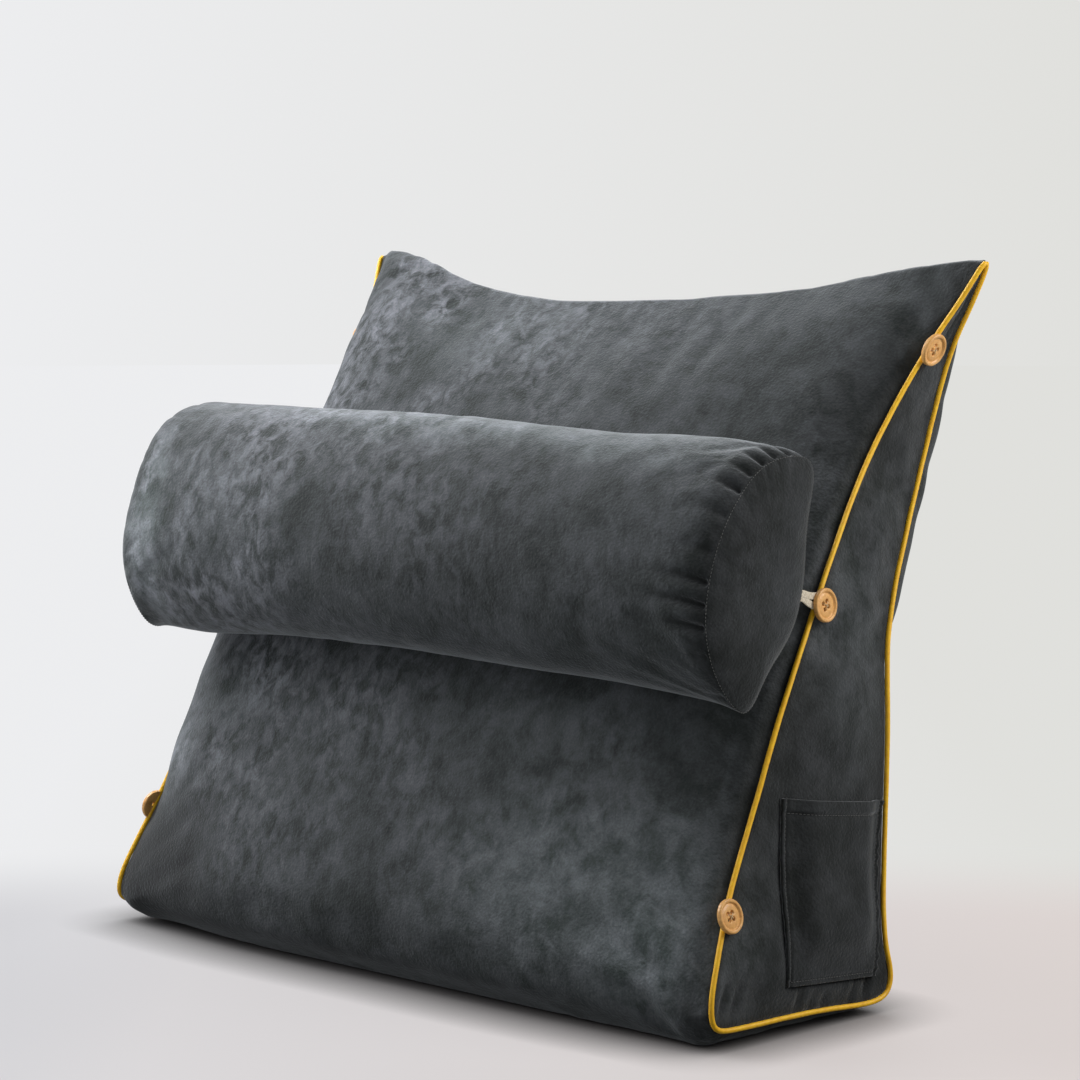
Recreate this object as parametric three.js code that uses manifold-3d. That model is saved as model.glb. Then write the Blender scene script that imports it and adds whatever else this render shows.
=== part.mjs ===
// Wedge reading cushion with a neck roll held across its sloping face.
// Millimetres, +Z up. The sloping face looks towards -Y, the pocket is on the +X side panel,
// and the origin lies on the floor under the middle of the whole cushion.
import * as THREE from 'three';
import { mergeVertices } from 'three/addons/utils/BufferGeometryUtils.js';
import Module from 'manifold-3d';

const wasm = await Module();
wasm.setup();

// Driving dimensions
const halfWidth = 300;
const topHeight = 499;
const topSetBack = 186;
const seatGap = 0.3;
const depthCentre = 40.6;

const topSag = { drop: 31, forward: 0.6, sharpness: 2.4, fullness: 1.25, lean: 17 };
const crownShape = { sharpness: 2.4, fullness: 0.55 };
const sidePanel = { crown: 5, peakShare: 1.15, fullness: 0.8 };
const floorPress = 70;

const piping = { radius: 2.25, ease: 0.5, sides: 8, step: 16, cornerTurn: 0.38, finer: 6, peakStand: 1.2 };
const pipingStand = piping.radius + seatGap + piping.ease;

const button = {
  radius: 11.5, thickness: 3.6, rim: 1.9, rimSlope: 0.9, edge: 1.1, dish: 0.7,
  sides: 24, holes: 4, holeRadius: 1.0, holeSides: 8, holeSpread: 2.4,
};

const elastic = {
  width: 3.2, thickness: 1.2, turnRadius: 4.4, strandGap: 0.4, parting: 1, steps: 26, turnSteps: 6,
};

const pocket = {
  thickness: 2, sink: 0.6, hem: 5, belly: 10, sideRise: 16, footRise: 40,
  frontTop: [-6, 155], backTop: [96, 143], backFoot: [72, 26], frontFoot: [-20, 31],
};

// The roll's left end lies further forward and higher. Each elastic loop is sewn to the end seam
// at loopY and loopZ.
const roll = {
  seamX: 285, centreY: -32, centreZ: 292, swell: 16, capCrown: 6,
  gatherDepth: 1.5, gatherStart: 4, gatherReach: 14, gatherUneven: 0.25,
  leftForward: 12, leftLift: 9, loopY: 12.4, loopZ: 277,
};
const capRings = [{ share: 0.35, crown: 0.9 }, { share: 0.7, crown: 0.55 }, { share: 0.93, crown: 0.12 }];
const bodyInsets = [0, 4, 9, 16, 26, 42, 80, 150, 220];

// The seam round a side panel, from the front foot up to the peak, and the back seam beside it.
// pull is how far the filling draws the panel in from the full width, and the crowns are how far
// the front and back stand out at mid width.
const seamRows = [
  { frontZ: 20, frontY: -88, backZ: 13, backY: 82, pull: 0, frontCrown: 18, backCrown: 14 },
  { frontZ: 34, frontY: -91, backZ: 24, backY: 85, pull: 0, frontCrown: 20, backCrown: 14 },
  { frontZ: 60, frontY: -80, backZ: 46, backY: 82, pull: 4, frontCrown: 27, backCrown: 18 },
  { frontZ: 96, frontY: -60, backZ: 88, backY: 93, pull: 13, frontCrown: 34, backCrown: 23 },
  { frontZ: 144, frontY: -32, backZ: 140, backY: 102, pull: 18, frontCrown: 38, backCrown: 27 },
  { frontZ: 200, frontY: -7, backZ: 200, backY: 105, pull: 19, frontCrown: 39, backCrown: 31 },
  { frontZ: 260, frontY: 29, backZ: 250, backY: 109, pull: 24, frontCrown: 37, backCrown: 33 },
  { frontZ: 320, frontY: 69, backZ: 312, backY: 134, pull: 31, frontCrown: 36, backCrown: 34 },
  { frontZ: 372, frontY: 106, backZ: 372, backY: 160, pull: 36, frontCrown: 35, backCrown: 32 },
  { frontZ: 412, frontY: 134, backZ: 412, backY: 173, pull: 33, frontCrown: 31, backCrown: 28 },
  { frontZ: 448, frontY: 157, backZ: 448, backY: 180, pull: 24, frontCrown: 24, backCrown: 22 },
  { frontZ: 476, frontY: 173, backZ: 476, backY: 183, pull: 10, frontCrown: 12, backCrown: 11 },
  {
    frontZ: topHeight, frontY: topSetBack, backZ: topHeight, backY: topSetBack,
    pull: 0, frontCrown: 0, backCrown: 0,
  },
];

// The bottom seam of a side panel, between the two feet.
const baseRows = [
  { y: seamRows[0].frontY, z: seamRows[0].frontZ },
  { y: -80, z: 16 },
  { y: -30, z: 14.5 },
  { y: 20, z: 13.5 },
  { y: 70, z: 9.5 },
  { y: seamRows[0].backY, z: seamRows[0].backZ },
];

// Section of the roll: its end seam, and the fuller body between the ends.
const rollRows = [
  { seamY: 22, seamZ: 366, bodyY: 20, bodyZ: 374 },
  { seamY: 2, seamZ: 373, bodyY: -4, bodyZ: 383 },
  { seamY: -30, seamZ: 366, bodyY: -37, bodyZ: 376 },
  { seamY: -60, seamZ: 340, bodyY: -67, bodyZ: 350 },
  { seamY: -78, seamZ: 300, bodyY: -85, bodyZ: 308 },
  { seamY: -80, seamZ: 265, bodyY: -87, bodyZ: 268 },
  { seamY: -66, seamZ: 233, bodyY: -73, bodyZ: 237 },
  { seamY: -42, seamZ: 213, bodyY: -44, bodyZ: 219 },
  { seamY: -20, seamZ: 238, bodyY: -14, bodyZ: 232 },
  { seamY: 4, seamZ: 264, bodyY: 10, bodyZ: 260 },
  { seamY: 14, seamZ: 290, bodyY: 22, bodyZ: 290 },
  { seamY: 18, seamZ: 330, bodyY: 27, bodyZ: 334 },
];

// Buttons down the front seam: height, turn of the face towards the front, turn of the hole pattern,
// and the room that each needs over the piping, where it curves or an elastic loop passes behind.
const buttonRows = [
  { name: 'top', height: 443, faceTurn: -10, holeTurn: 20, room: 0.6 },
  { name: 'middle', height: 279, faceTurn: 0, holeTurn: 62, room: elastic.thickness + seatGap },
  { name: 'bottom', height: 84, faceTurn: 5, holeTurn: 38, room: 0.35 },
];

const counts = { across: 24, up: 20, base: 8, rollSection: 56, pocketAcross: 14, pocketUp: 12 };
const stationCrowding = 1.35;
const weld = 1e-3;

const colours = {
  cloth: { color: 0x4a4e52, roughness: 0.85, metalness: 0 },
  piping: { color: 0xe0a92a, roughness: 0.6, metalness: 0 },
  elastic: { color: 0xe6dcc8, roughness: 0.8, metalness: 0 },
  wood: { color: 0xc9975a, roughness: 0.5, metalness: 0 },
};

// Shared helpers

const mix = (a, b, t) => a + (b - a) * t;

function smooth(edge0, edge1, value) {
  const t = Math.min(Math.max((value - edge0) / (edge1 - edge0), 0), 1);
  return t * t * (3 - 2 * t);
}

function curveOf(rows, pick, closed = false) {
  const points = rows.map((row) => new THREE.Vector3(...pick(row)));
  return new THREE.CatmullRomCurve3(points, closed, 'centripetal');
}

// A closed solid from grids of points that share their borders.
class Shell {
  constructor() {
    this.positions = [];
  }

  triangle(a, b, c) {
    this.positions.push(a.x, a.y, a.z, b.x, b.y, b.z, c.x, c.y, c.z);
  }

  grid(rows, flip = false) {
    for (let i = 0; i + 1 < rows.length; i += 1) {
      for (let j = 0; j + 1 < rows[i].length; j += 1) {
        const corners = [rows[i][j], rows[i + 1][j], rows[i + 1][j + 1], rows[i][j + 1]];
        if (flip) corners.reverse();
        this.triangle(corners[0], corners[1], corners[2]);
        this.triangle(corners[0], corners[2], corners[3]);
      }
    }
  }

  fan(centre, ring, flip = false) {
    for (let j = 0; j < ring.length; j += 1) {
      const next = ring[(j + 1) % ring.length];
      if (flip) this.triangle(centre, next, ring[j]);
      else this.triangle(centre, ring[j], next);
    }
  }

  geometry() {
    const loose = new THREE.BufferGeometry();
    loose.setAttribute('position', new THREE.Float32BufferAttribute(this.positions, 3));
    return withoutFlatTriangles(mergeVertices(loose, weld));
  }
}

function withoutFlatTriangles(geometry) {
  const index = geometry.index.array;
  const kept = [];
  for (let i = 0; i < index.length; i += 3) {
    const [a, b, c] = [index[i], index[i + 1], index[i + 2]];
    if (a !== b && b !== c && c !== a) kept.push(a, b, c);
  }
  geometry.setIndex(kept);
  return geometry;
}

function toManifold(geometry) {
  const bare = geometry.clone();
  bare.deleteAttribute('normal');
  bare.deleteAttribute('uv');
  const merged = withoutFlatTriangles(mergeVertices(bare, weld));
  return new wasm.Manifold(new wasm.Mesh({
    numProp: 3,
    vertProperties: new Float32Array(merged.attributes.position.array),
    triVerts: new Uint32Array(merged.index.array),
  }));
}

function toGeometry(manifold) {
  const mesh = manifold.getMesh();
  const geometry = new THREE.BufferGeometry();
  geometry.setAttribute('position', new THREE.Float32BufferAttribute(mesh.vertProperties, 3));
  geometry.setIndex(Array.from(mesh.triVerts));
  return geometry;
}

// A solid swept along frames, each with a centre and the two directions of its section.
function sweep(frames, section, closed) {
  const rings = frames.map(({ centre, across, out }) => section.map(([a, b]) => (
    centre.clone().addScaledVector(across, a).addScaledVector(out, b))));
  const shell = new Shell();
  const wrapped = rings.map((ring) => [...ring, ring[0]]);
  shell.grid(closed ? [...wrapped, wrapped[0]] : wrapped, true);
  if (!closed) {
    shell.fan(frames[0].centre, rings[0], true);
    shell.fan(frames[frames.length - 1].centre, rings[rings.length - 1]);
  }
  return shell.geometry();
}

function roundSection(radius, sides) {
  return Array.from({ length: sides }, (_, i) => {
    const angle = (i / sides) * Math.PI * 2;
    return [Math.cos(angle) * radius, Math.sin(angle) * radius];
  });
}

// The wedge

const frontCurve = curveOf(seamRows, (row) => [row.pull, row.frontY, row.frontZ]);
const backCurve = curveOf(seamRows, (row) => [row.pull, row.backY, row.backZ]);
const crownCurve = curveOf(seamRows, (row) => [row.frontCrown, row.backCrown, 0]);

const baseSeam = curveOf(baseRows, (row) => [0, row.y, row.z]);

// How far along the front seam a height lies, from 0 at the foot to 1 at the peak.
function shareAtHeight(height) {
  let low = 0;
  let high = 1;
  while (high - low > 1e-4) {
    const middle = (low + high) / 2;
    if (frontCurve.getPoint(middle).z < height) low = middle;
    else high = middle;
  }
  return low;
}

// Points round the side seam, in order front foot, peak, back foot, with how far each is crowned.
function seamLoop() {
  const points = [];
  for (let k = 0; k <= counts.up; k += 1) {
    const t = k / counts.up;
    const at = frontCurve.getPoint(t);
    points.push({ y: at.y, z: at.z, pull: at.x, crown: crownCurve.getPoint(t).x });
  }
  for (let k = counts.up - 1; k >= 0; k -= 1) {
    const t = k / counts.up;
    const at = backCurve.getPoint(t);
    points.push({ y: at.y, z: at.z, pull: at.x, crown: crownCurve.getPoint(t).y });
  }
  for (let j = counts.base - 1; j > 0; j -= 1) {
    const at = baseSeam.getPoint(j / counts.base);
    points.push({ y: at.y, z: at.z, pull: 0, crown: floorPress });
  }
  points.forEach((point, i) => {
    const before = points[(i + points.length - 1) % points.length];
    const after = points[(i + 1) % points.length];
    const outward = new THREE.Vector2(before.z - after.z, after.y - before.y).normalize();
    const underneath = i > 2 * counts.up;
    point.outY = underneath ? 0 : outward.x;
    point.outZ = underneath ? -1 : outward.y;
  });
  return points;
}

const loop = seamLoop();

// A point of the cushion at share u of the half width, over one point of the side seam. The top
// edge sags in the middle and leans to the left, and grow makes the whole cushion that much bigger.
function skinPoint(seam, u, grow = 0) {
  const edge = Math.abs(u);
  const crown = seam.crown * (1 - edge ** crownShape.sharpness) ** crownShape.fullness + grow;
  const hollow = topSag.drop * (1 - edge ** topSag.sharpness) ** topSag.fullness;
  const sag = (hollow - topSag.lean * u * (1 - edge)) * (seam.z / topHeight) ** 3;
  return new THREE.Vector3(
    u * (halfWidth - seam.pull) + Math.sign(u) * (edge === 1 ? grow : 0),
    seam.y + seam.outY * crown - sag * topSag.forward,
    Math.max(seam.z + seam.outZ * crown - sag, -grow),
  );
}

// How far the side panel swells between its seams.
function sideSwell(across, up) {
  const rise = Math.sin(Math.PI * Math.min(up * sidePanel.peakShare, 1)) ** sidePanel.fullness;
  return sidePanel.crown * Math.sin(Math.PI * across) * rise;
}

function sidePanelRows(side, grow) {
  const rows = [];
  for (let k = 0; k <= counts.up; k += 1) {
    const front = skinPoint(loop[k], side, grow);
    const back = skinPoint(loop[2 * counts.up - k], side, grow);
    const row = [];
    for (let j = 0; j <= counts.base; j += 1) {
      const share = j / counts.base;
      const at = front.clone().lerp(back, share);
      if (k === 0 && j > 0 && j < counts.base) at.copy(skinPoint(loop[loop.length - j], side, grow));
      at.x += side * sideSwell(share, k / counts.up);
      row.push(at);
    }
    rows.push(row);
  }
  return rows;
}

// Stations across the width lie closer together near the side seams, where the crown is steep.
function acrossStations() {
  return Array.from({ length: counts.across + 1 }, (_, i) => {
    const even = (i / counts.across) * 2 - 1;
    return Math.sign(even) * (1 - (1 - Math.abs(even)) ** stationCrowding);
  });
}

function cushionGeometry(grow = 0) {
  const stations = acrossStations();
  const pillowPanel = (points) => stations.map((u) => points.map((seam) => skinPoint(seam, u, grow)));
  const peak = counts.up;
  const backFoot = 2 * counts.up;
  const shell = new Shell();
  shell.grid(pillowPanel(loop.slice(0, peak + 1)));
  shell.grid(pillowPanel(loop.slice(peak, backFoot + 1)));
  shell.grid(pillowPanel([...loop.slice(backFoot), loop[0]]));
  shell.grid(sidePanelRows(1, grow), true);
  shell.grid(sidePanelRows(-1, grow));
  return shell.geometry();
}

// Piping laid on the seam round each side panel, outside the corner of the cloth.

function pipingFrames(side) {
  const path = new THREE.CatmullRomCurve3(pipingPath(side), true, 'centripetal');
  return pipingStops(path).map((t) => {
    const along = path.getTangentAt(t);
    const out = new THREE.Vector3(side, 0, 0).addScaledVector(along, -along.x * side).normalize();
    return { centre: path.getPointAt(t), across: out.clone().cross(along).normalize(), out };
  });
}

// Even steps, with shorter ones wherever the seam turns a corner.
function pipingStops(path) {
  const stops = [];
  const fine = Math.round(path.getLength() / piping.step) * piping.finer;
  let turned = 0;
  let walked = 0;
  let last = path.getTangentAt(0);
  for (let i = 0; i < fine; i += 1) {
    const along = path.getTangentAt(i / fine);
    turned += along.angleTo(last);
    walked += 1;
    last = along;
    if (i === 0 || walked >= piping.finer || turned > piping.cornerTurn) {
      stops.push(i / fine);
      turned = 0;
      walked = 0;
    }
  }
  return stops;
}

function pipingPath(side) {
  const stand = pipingStand * Math.SQRT1_2;
  const lift = (seam, outY, outZ) => new THREE.Vector3(
    side * (halfWidth - seam.pull + stand), seam.y + outY * stand, seam.z + outZ * stand);
  const path = [];
  loop.forEach((seam, i) => {
    if (i !== counts.up) {
      path.push(lift(seam, seam.outY, seam.outZ));
      return;
    }
    const before = loop[i - 1];
    const after = loop[i + 1];
    const start = Math.atan2(before.outZ, before.outY);
    const end = Math.atan2(after.outZ, after.outY);
    for (let step = 1; step < 4; step += 1) {
      const angle = mix(start, end, step / 4);
      path.push(lift(seam, Math.cos(angle) * piping.peakStand, Math.sin(angle) * piping.peakStand));
    }
  });
  return path;
}

function pipingGeometry(side) {
  return sweep(pipingFrames(side), roundSection(piping.radius, piping.sides), true);
}

// The patch pocket on the right side panel: a sheet sewn down on three edges, open at the top.

function pocketGeometry(cutter) {
  const corner = (pair) => new THREE.Vector2(...pair);
  const top = [corner(pocket.frontTop), corner(pocket.backTop)];
  const foot = [corner(pocket.frontFoot), corner(pocket.backFoot)];
  const width = top[0].distanceTo(top[1]);
  const height = top[0].distanceTo(foot[0]);
  const surface = (s, t, lift) => {
    const at = foot[0].clone().lerp(foot[1], s).lerp(top[0].clone().lerp(top[1], s), t);
    const [y, z] = at.toArray();
    const fromSide = Math.min(s, 1 - s) * width - pocket.hem;
    const fromFoot = t * height - pocket.hem;
    const belly = smooth(0, pocket.sideRise, fromSide) * smooth(0, pocket.footRise, fromFoot);
    const panel = halfWidth - frontCurve.getPoint(shareAtHeight(z)).x + panelLift(y, z);
    return new THREE.Vector3(panel + belly * pocket.belly + lift, y, z);
  };
  const sheet = (lift) => Array.from({ length: counts.pocketUp + 1 }, (_, k) => (
    Array.from({ length: counts.pocketAcross + 1 }, (__, j) => (
      surface(j / counts.pocketAcross, k / counts.pocketUp, lift)))));
  const outer = sheet(pocket.thickness + seatGap);
  const inner = sheet(-pocket.sink);
  const shell = new Shell();
  shell.grid(outer, true);
  shell.grid(inner);
  const rim = (a, b, flip) => shell.grid([a, b], flip);
  rim(outer[0], inner[0], false);
  rim(outer[counts.pocketUp], inner[counts.pocketUp], true);
  rim(outer.map((row) => row[0]), inner.map((row) => row[0]), true);
  rim(outer.map((row) => row[counts.pocketAcross]), inner.map((row) => row[counts.pocketAcross]), false);
  return toGeometry(toManifold(shell.geometry()).subtract(cutter));
}

// Swell of the side panel over a point of it, from the shares across and up that the panel uses.
function panelLift(y, z) {
  let share = 0;
  for (let k = 0; k <= counts.up; k += 1) {
    if (loop[k].z <= z) share = k;
  }
  const step = (z - loop[share].z) / (loop[share + 1].z - loop[share].z);
  const front = mix(loop[share].y, loop[share + 1].y, step);
  const back = mix(loop[2 * counts.up - share].y, loop[2 * counts.up - share - 1].y, step);
  const across = Math.min(Math.max((y - front) / (back - front), 0), 1);
  return sideSwell(across, (share + step) / counts.up);
}

// The neck roll: a filled tube of cloth gathered into flat ends, pressed against the sloping face.

// One ring of the roll: body is 0 at the end seam and 1 at full girth, and ripple is the depth of
// the gathers there.
function rollSection(body, ripple) {
  const pick = (row) => [0, mix(row.seamY, row.bodyY, body), mix(row.seamZ, row.bodyZ, body)];
  const curve = curveOf(rollRows, pick, true);
  const points = [];
  for (let i = 0; i < counts.rollSection; i += 1) {
    const t = i / counts.rollSection;
    const along = curve.getTangent(t);
    const inward = new THREE.Vector3(0, along.z, -along.y).normalize();
    const depth = ripple * (1 - roll.gatherUneven * (1 - Math.sin(i * 2.1)));
    points.push(curve.getPoint(t).addScaledVector(inward, i % 2 ? -depth : depth));
  }
  return points;
}

function rollGeometry(cutter) {
  const { seamX, capCrown, gatherDepth, gatherStart, gatherReach } = roll;
  const middle = new THREE.Vector3(0, roll.centreY, roll.centreZ);
  const half = capRings.map(({ share, crown }) => (
    rollSection(0, 0).map((p) => p.lerp(middle, 1 - share).setX(seamX + capCrown * crown))));
  for (const inset of bodyInsets) {
    const body = 1 - Math.exp(-inset / roll.swell);
    const ripple = gatherDepth * Math.exp(-inset / gatherReach) * smooth(0, gatherStart, inset);
    half.push(rollSection(body, ripple).map((p) => p.setX(seamX - inset)));
  }
  const mirrored = half.map((ring) => ring.map((p) => p.clone().setX(-p.x)));
  const rings = [...half, rollSection(1, 0), ...mirrored.reverse()];
  const shell = new Shell();
  shell.grid(rings.map((ring) => [...ring, ring[0]]));
  shell.fan(middle.clone().setX(seamX + capCrown), rings[0]);
  shell.fan(middle.clone().setX(-seamX - capCrown), rings[rings.length - 1], true);
  const geometry = shell.geometry();
  const place = geometry.attributes.position;
  for (let i = 0; i < place.count; i += 1) {
    const leftShare = (1 - place.getX(i) / seamX) / 2;
    place.setY(i, place.getY(i) - roll.leftForward * leftShare);
    place.setZ(i, place.getZ(i) + roll.leftLift * leftShare);
  }
  return toGeometry(toManifold(geometry).subtract(cutter));
}

// Wooden four-hole buttons, turned with a raised rim.

function buttonSolid() {
  const { radius, thickness, rim, rimSlope, edge, dish, holeRadius, holeSpread } = button;
  const profile = [
    [0, 0], [radius - edge, 0], [radius, edge], [radius, thickness - edge], [radius - edge, thickness],
    [radius - rim, thickness], [radius - rim - rimSlope, thickness - dish], [0, thickness - dish],
  ].map(([r, h]) => new THREE.Vector2(r, h));
  let solid = toManifold(new THREE.LatheGeometry(profile, button.sides));
  for (let i = 0; i < button.holes; i += 1) {
    const angle = (i / button.holes) * Math.PI * 2;
    const drill = new THREE.CylinderGeometry(holeRadius, holeRadius, thickness * 3, button.holeSides);
    drill.translate(Math.cos(angle) * holeSpread, 0, Math.sin(angle) * holeSpread);
    solid = solid.subtract(toManifold(drill));
  }
  return toGeometry(solid);
}

// Where a button sits: the middle of the piping at its height, the way the piping runs there,
// and the way out from the side panel.
function buttonSeat(side, row) {
  const share = shareAtHeight(row.height);
  const seam = frontCurve.getPoint(share);
  const slope = frontCurve.getTangent(share);
  const along = new THREE.Vector3(-side * slope.x, slope.y, slope.z).normalize();
  const out = new THREE.Vector3(side, 0, 0).addScaledVector(along, -along.x * side).normalize();
  const back = new THREE.Vector3(0, slope.z, -slope.y).normalize();
  const centre = new THREE.Vector3(side * (halfWidth - seam.x), seam.y, seam.z)
    .addScaledVector(new THREE.Vector3(side, 0, 0), pipingStand * Math.SQRT1_2)
    .addScaledVector(back, -pipingStand * Math.SQRT1_2);
  return { centre, along, out };
}

function buttonMesh(side, row, shape) {
  const { centre, along, out } = buttonSeat(side, row);
  out.applyAxisAngle(along, THREE.MathUtils.degToRad(-side * row.faceTurn));
  const geometry = shape.clone().rotateY(THREE.MathUtils.degToRad(row.holeTurn));
  const mesh = meshOf(`button_${side > 0 ? 'right' : 'left'}_${row.name}`, geometry, colours.wood);
  mesh.quaternion.setFromUnitVectors(new THREE.Vector3(0, 1, 0), out);
  mesh.position.copy(centre).addScaledVector(out, piping.radius + seatGap + row.room);
  return mesh;
}

// Elastic loops from the back of the roll's end seams round the middle buttons.

function elasticGeometry(side) {
  const { centre, along, out } = buttonSeat(side, buttonRows[1]);
  const shank = centre.clone().addScaledVector(out, piping.radius + seatGap + elastic.thickness / 2);
  const back = along.clone().cross(out).multiplyScalar(-side);
  const anchor = new THREE.Vector3(side * (roll.seamX - 1), roll.loopY, roll.loopZ);
  if (side < 0) anchor.add(new THREE.Vector3(0, -roll.leftForward, roll.leftLift));
  const spread = (elastic.width + elastic.strandGap) / 2;
  const reach = anchor.clone().sub(shank);
  const rise = reach.dot(out);
  reach.addScaledVector(out, -rise);
  const strand = (share, offset) => shank.clone()
    .addScaledVector(reach, share)
    .addScaledVector(out, rise * smooth(0.5, 1, share))
    .addScaledVector(along, offset);
  const parting = [
    { share: 1, offset: spread },
    { share: 0.8, offset: spread + elastic.parting * 0.2 },
    { share: 0.6, offset: spread + elastic.parting },
    { share: 0.4, offset: spread + elastic.parting * 2 },
  ];
  const points = parting.map(({ share, offset }) => strand(share, offset));
  for (let step = 0; step <= elastic.turnSteps; step += 1) {
    const angle = Math.PI * (1 / 2 - step / elastic.turnSteps);
    points.push(shank.clone()
      .addScaledVector(back, Math.cos(angle) * elastic.turnRadius)
      .addScaledVector(along, Math.sin(angle) * elastic.turnRadius));
  }
  points.push(...parting.reverse().map(({ share, offset }) => strand(share, -offset)));
  const curve = new THREE.CatmullRomCurve3(points, false, 'centripetal');
  const frames = Array.from({ length: elastic.steps + 1 }, (_, i) => {
    const way = curve.getTangentAt(i / elastic.steps);
    const up = out.clone().addScaledVector(way, -way.dot(out)).normalize();
    const across = up.clone().cross(way).normalize();
    return { centre: curve.getPointAt(i / elastic.steps), across, out: up };
  });
  const [halfTape, halfThick] = [elastic.width / 2, elastic.thickness / 2];
  const section = [[-1, -1], [1, -1], [1, 1], [-1, 1]].map(([a, b]) => [a * halfTape, b * halfThick]);
  return sweep(frames, section, false);
}

// The whole cushion

function meshOf(name, geometry, look) {
  const mesh = new THREE.Mesh(geometry, new THREE.MeshStandardMaterial(look));
  mesh.name = name;
  return mesh;
}

const cushion = new THREE.Group();
const grownWedge = toManifold(cushionGeometry(seatGap + 0.2));
const buttonShape = buttonSolid();

cushion.add(meshOf('wedge_cushion', cushionGeometry(), colours.cloth));
cushion.add(meshOf('neck_roll', rollGeometry(grownWedge), colours.cloth));
cushion.add(meshOf('pocket', pocketGeometry(grownWedge), colours.cloth));
for (const side of [1, -1]) {
  const hand = side > 0 ? 'right' : 'left';
  cushion.add(meshOf(`piping_${hand}`, pipingGeometry(side), colours.piping));
  cushion.add(meshOf(`elastic_loop_${hand}`, elasticGeometry(side), colours.elastic));
  for (const row of buttonRows) cushion.add(buttonMesh(side, row, buttonShape));
}
cushion.position.y = -depthCentre;

export default cushion;
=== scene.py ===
# Wedge reading cushion with a neck roll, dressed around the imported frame.
# Metres, +Z up. The sloping face looks towards -Y, and the pocket is on the +X side panel.
from math import copysign, cos, exp, pi, radians, sin, sqrt, tau
from types import SimpleNamespace as Table

import bmesh
import bpy
import numpy as np
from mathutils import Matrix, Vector, noise
from mathutils.bvhtree import BVHTree


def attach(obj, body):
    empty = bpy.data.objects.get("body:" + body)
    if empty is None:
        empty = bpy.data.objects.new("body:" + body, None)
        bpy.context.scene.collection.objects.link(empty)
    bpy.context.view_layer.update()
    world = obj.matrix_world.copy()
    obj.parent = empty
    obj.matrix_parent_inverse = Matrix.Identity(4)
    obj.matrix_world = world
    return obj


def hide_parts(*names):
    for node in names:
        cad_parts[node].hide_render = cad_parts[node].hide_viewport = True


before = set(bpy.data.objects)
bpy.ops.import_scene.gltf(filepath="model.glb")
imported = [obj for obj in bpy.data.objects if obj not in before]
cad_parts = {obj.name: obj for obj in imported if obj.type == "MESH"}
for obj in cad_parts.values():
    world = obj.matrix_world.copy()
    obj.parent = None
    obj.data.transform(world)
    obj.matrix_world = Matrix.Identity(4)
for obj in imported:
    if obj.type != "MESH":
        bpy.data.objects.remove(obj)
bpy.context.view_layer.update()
scene = bpy.context.scene
hands = {"right": 1, "left": -1}
print("frame loaded")


# Camera, floor and light

camera = Table(place=(1.775, -1.7826, 0.547), turn=44.60, tilt=5.58, lens=117.5, film=36.0)

studio = Table(
    floorRadius=9.0, floorDrop=0.0004, floorAlbedo=0.10,
    floorLeft=(0.555, 0.552, 0.575), floorRight=(0.58, 0.52, 0.50),
    # The floor's far left tone, with where it starts and ends, is a painted shadow on the floor.
    floorFarLeft=(0.475, 0.475, 0.50), farFrom=-0.42, farTo=-0.24, floorSpan=0.45,
    backLeft=(0.845, 0.850, 0.865), backRight=(0.745, 0.745, 0.72), backSpan=0.16, ambient=0.13,
    poolAhead=0.30, poolWidth=2.2, fadeFrom=0.44, fadeTo=0.74, contact=0.055,
)

# Each light: its name, the side that it comes from, counted as the camera's turn is, its height in
# degrees, its distance, size, power and tone.
lights = [
    ("keyLight", -66, 43, 1.35, 1.0, 25, (1, 0.99, 0.98)),
    ("sideLight", 120, 30, 1.9, 1.0, 24, (1, 0.96, 0.92)),
    ("frontLight", 4, 12, 2.4, 1.6, 8, (1, 0.985, 0.97)),
    ("rimLight", -145, 40, 1.9, 1.0, 16, (0.94, 0.97, 1)),
]


def makeCamera():
    data = bpy.data.cameras.new("photoCamera")
    data.lens, data.sensor_width = camera.lens, camera.film
    holder = linked("photoCamera", data)
    holder.location = camera.place
    holder.rotation_euler = (radians(90 - camera.tilt), 0, radians(camera.turn))
    scene.camera = holder


def makeLights():
    for name, turn, height, distance, size, power, tone in lights:
        data = bpy.data.lights.new(name, "AREA")
        data.size, data.energy, data.color = size, power, tone
        turn, height = radians(turn), radians(height)
        flat = cos(height)
        towards = Vector((sin(turn) * flat, -cos(turn) * flat, sin(height)))
        holder = linked(name, data)
        holder.location = Vector((0, 0, 0.22)) + towards * distance
        holder.rotation_mode = "QUATERNION"
        holder.rotation_quaternion = towards.to_track_quat("Z", "Y")


# The camera sees a backdrop that grows darker to the right, and the light of the room is even.
def makeWorld():
    world = bpy.data.worlds.new("studioWorld")
    world.use_nodes = True
    scene.world = world
    tree = world.node_tree
    tree.nodes.clear()
    span = studio.backSpan
    towards = add(tree, "TexCoord").outputs["Generated"]
    backdrop = sideTone(tree, towards, -span, span, studio.backLeft, studio.backRight)
    seen = found(tree, "Background", {"Color": backdrop})
    lighting = found(tree, "Background", {"Color": (1, 1, 1), "Strength": studio.ambient})
    isSeen = found(tree, "LightPath")
    add(tree, "OutputWorld", {"Surface": found(tree, "MixShader", {0: isSeen, 1: lighting, 2: seen})})


# A tone that changes from the left of the picture to the right, between these places.
def sideTone(tree, where, start, end, left, right):
    turn = radians(camera.turn)
    across = combined(tree, "DOT_PRODUCT", where, (cos(turn), sin(turn), 0))
    return mixColour(tree, mapped(tree, across, start, end), left, right)
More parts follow.
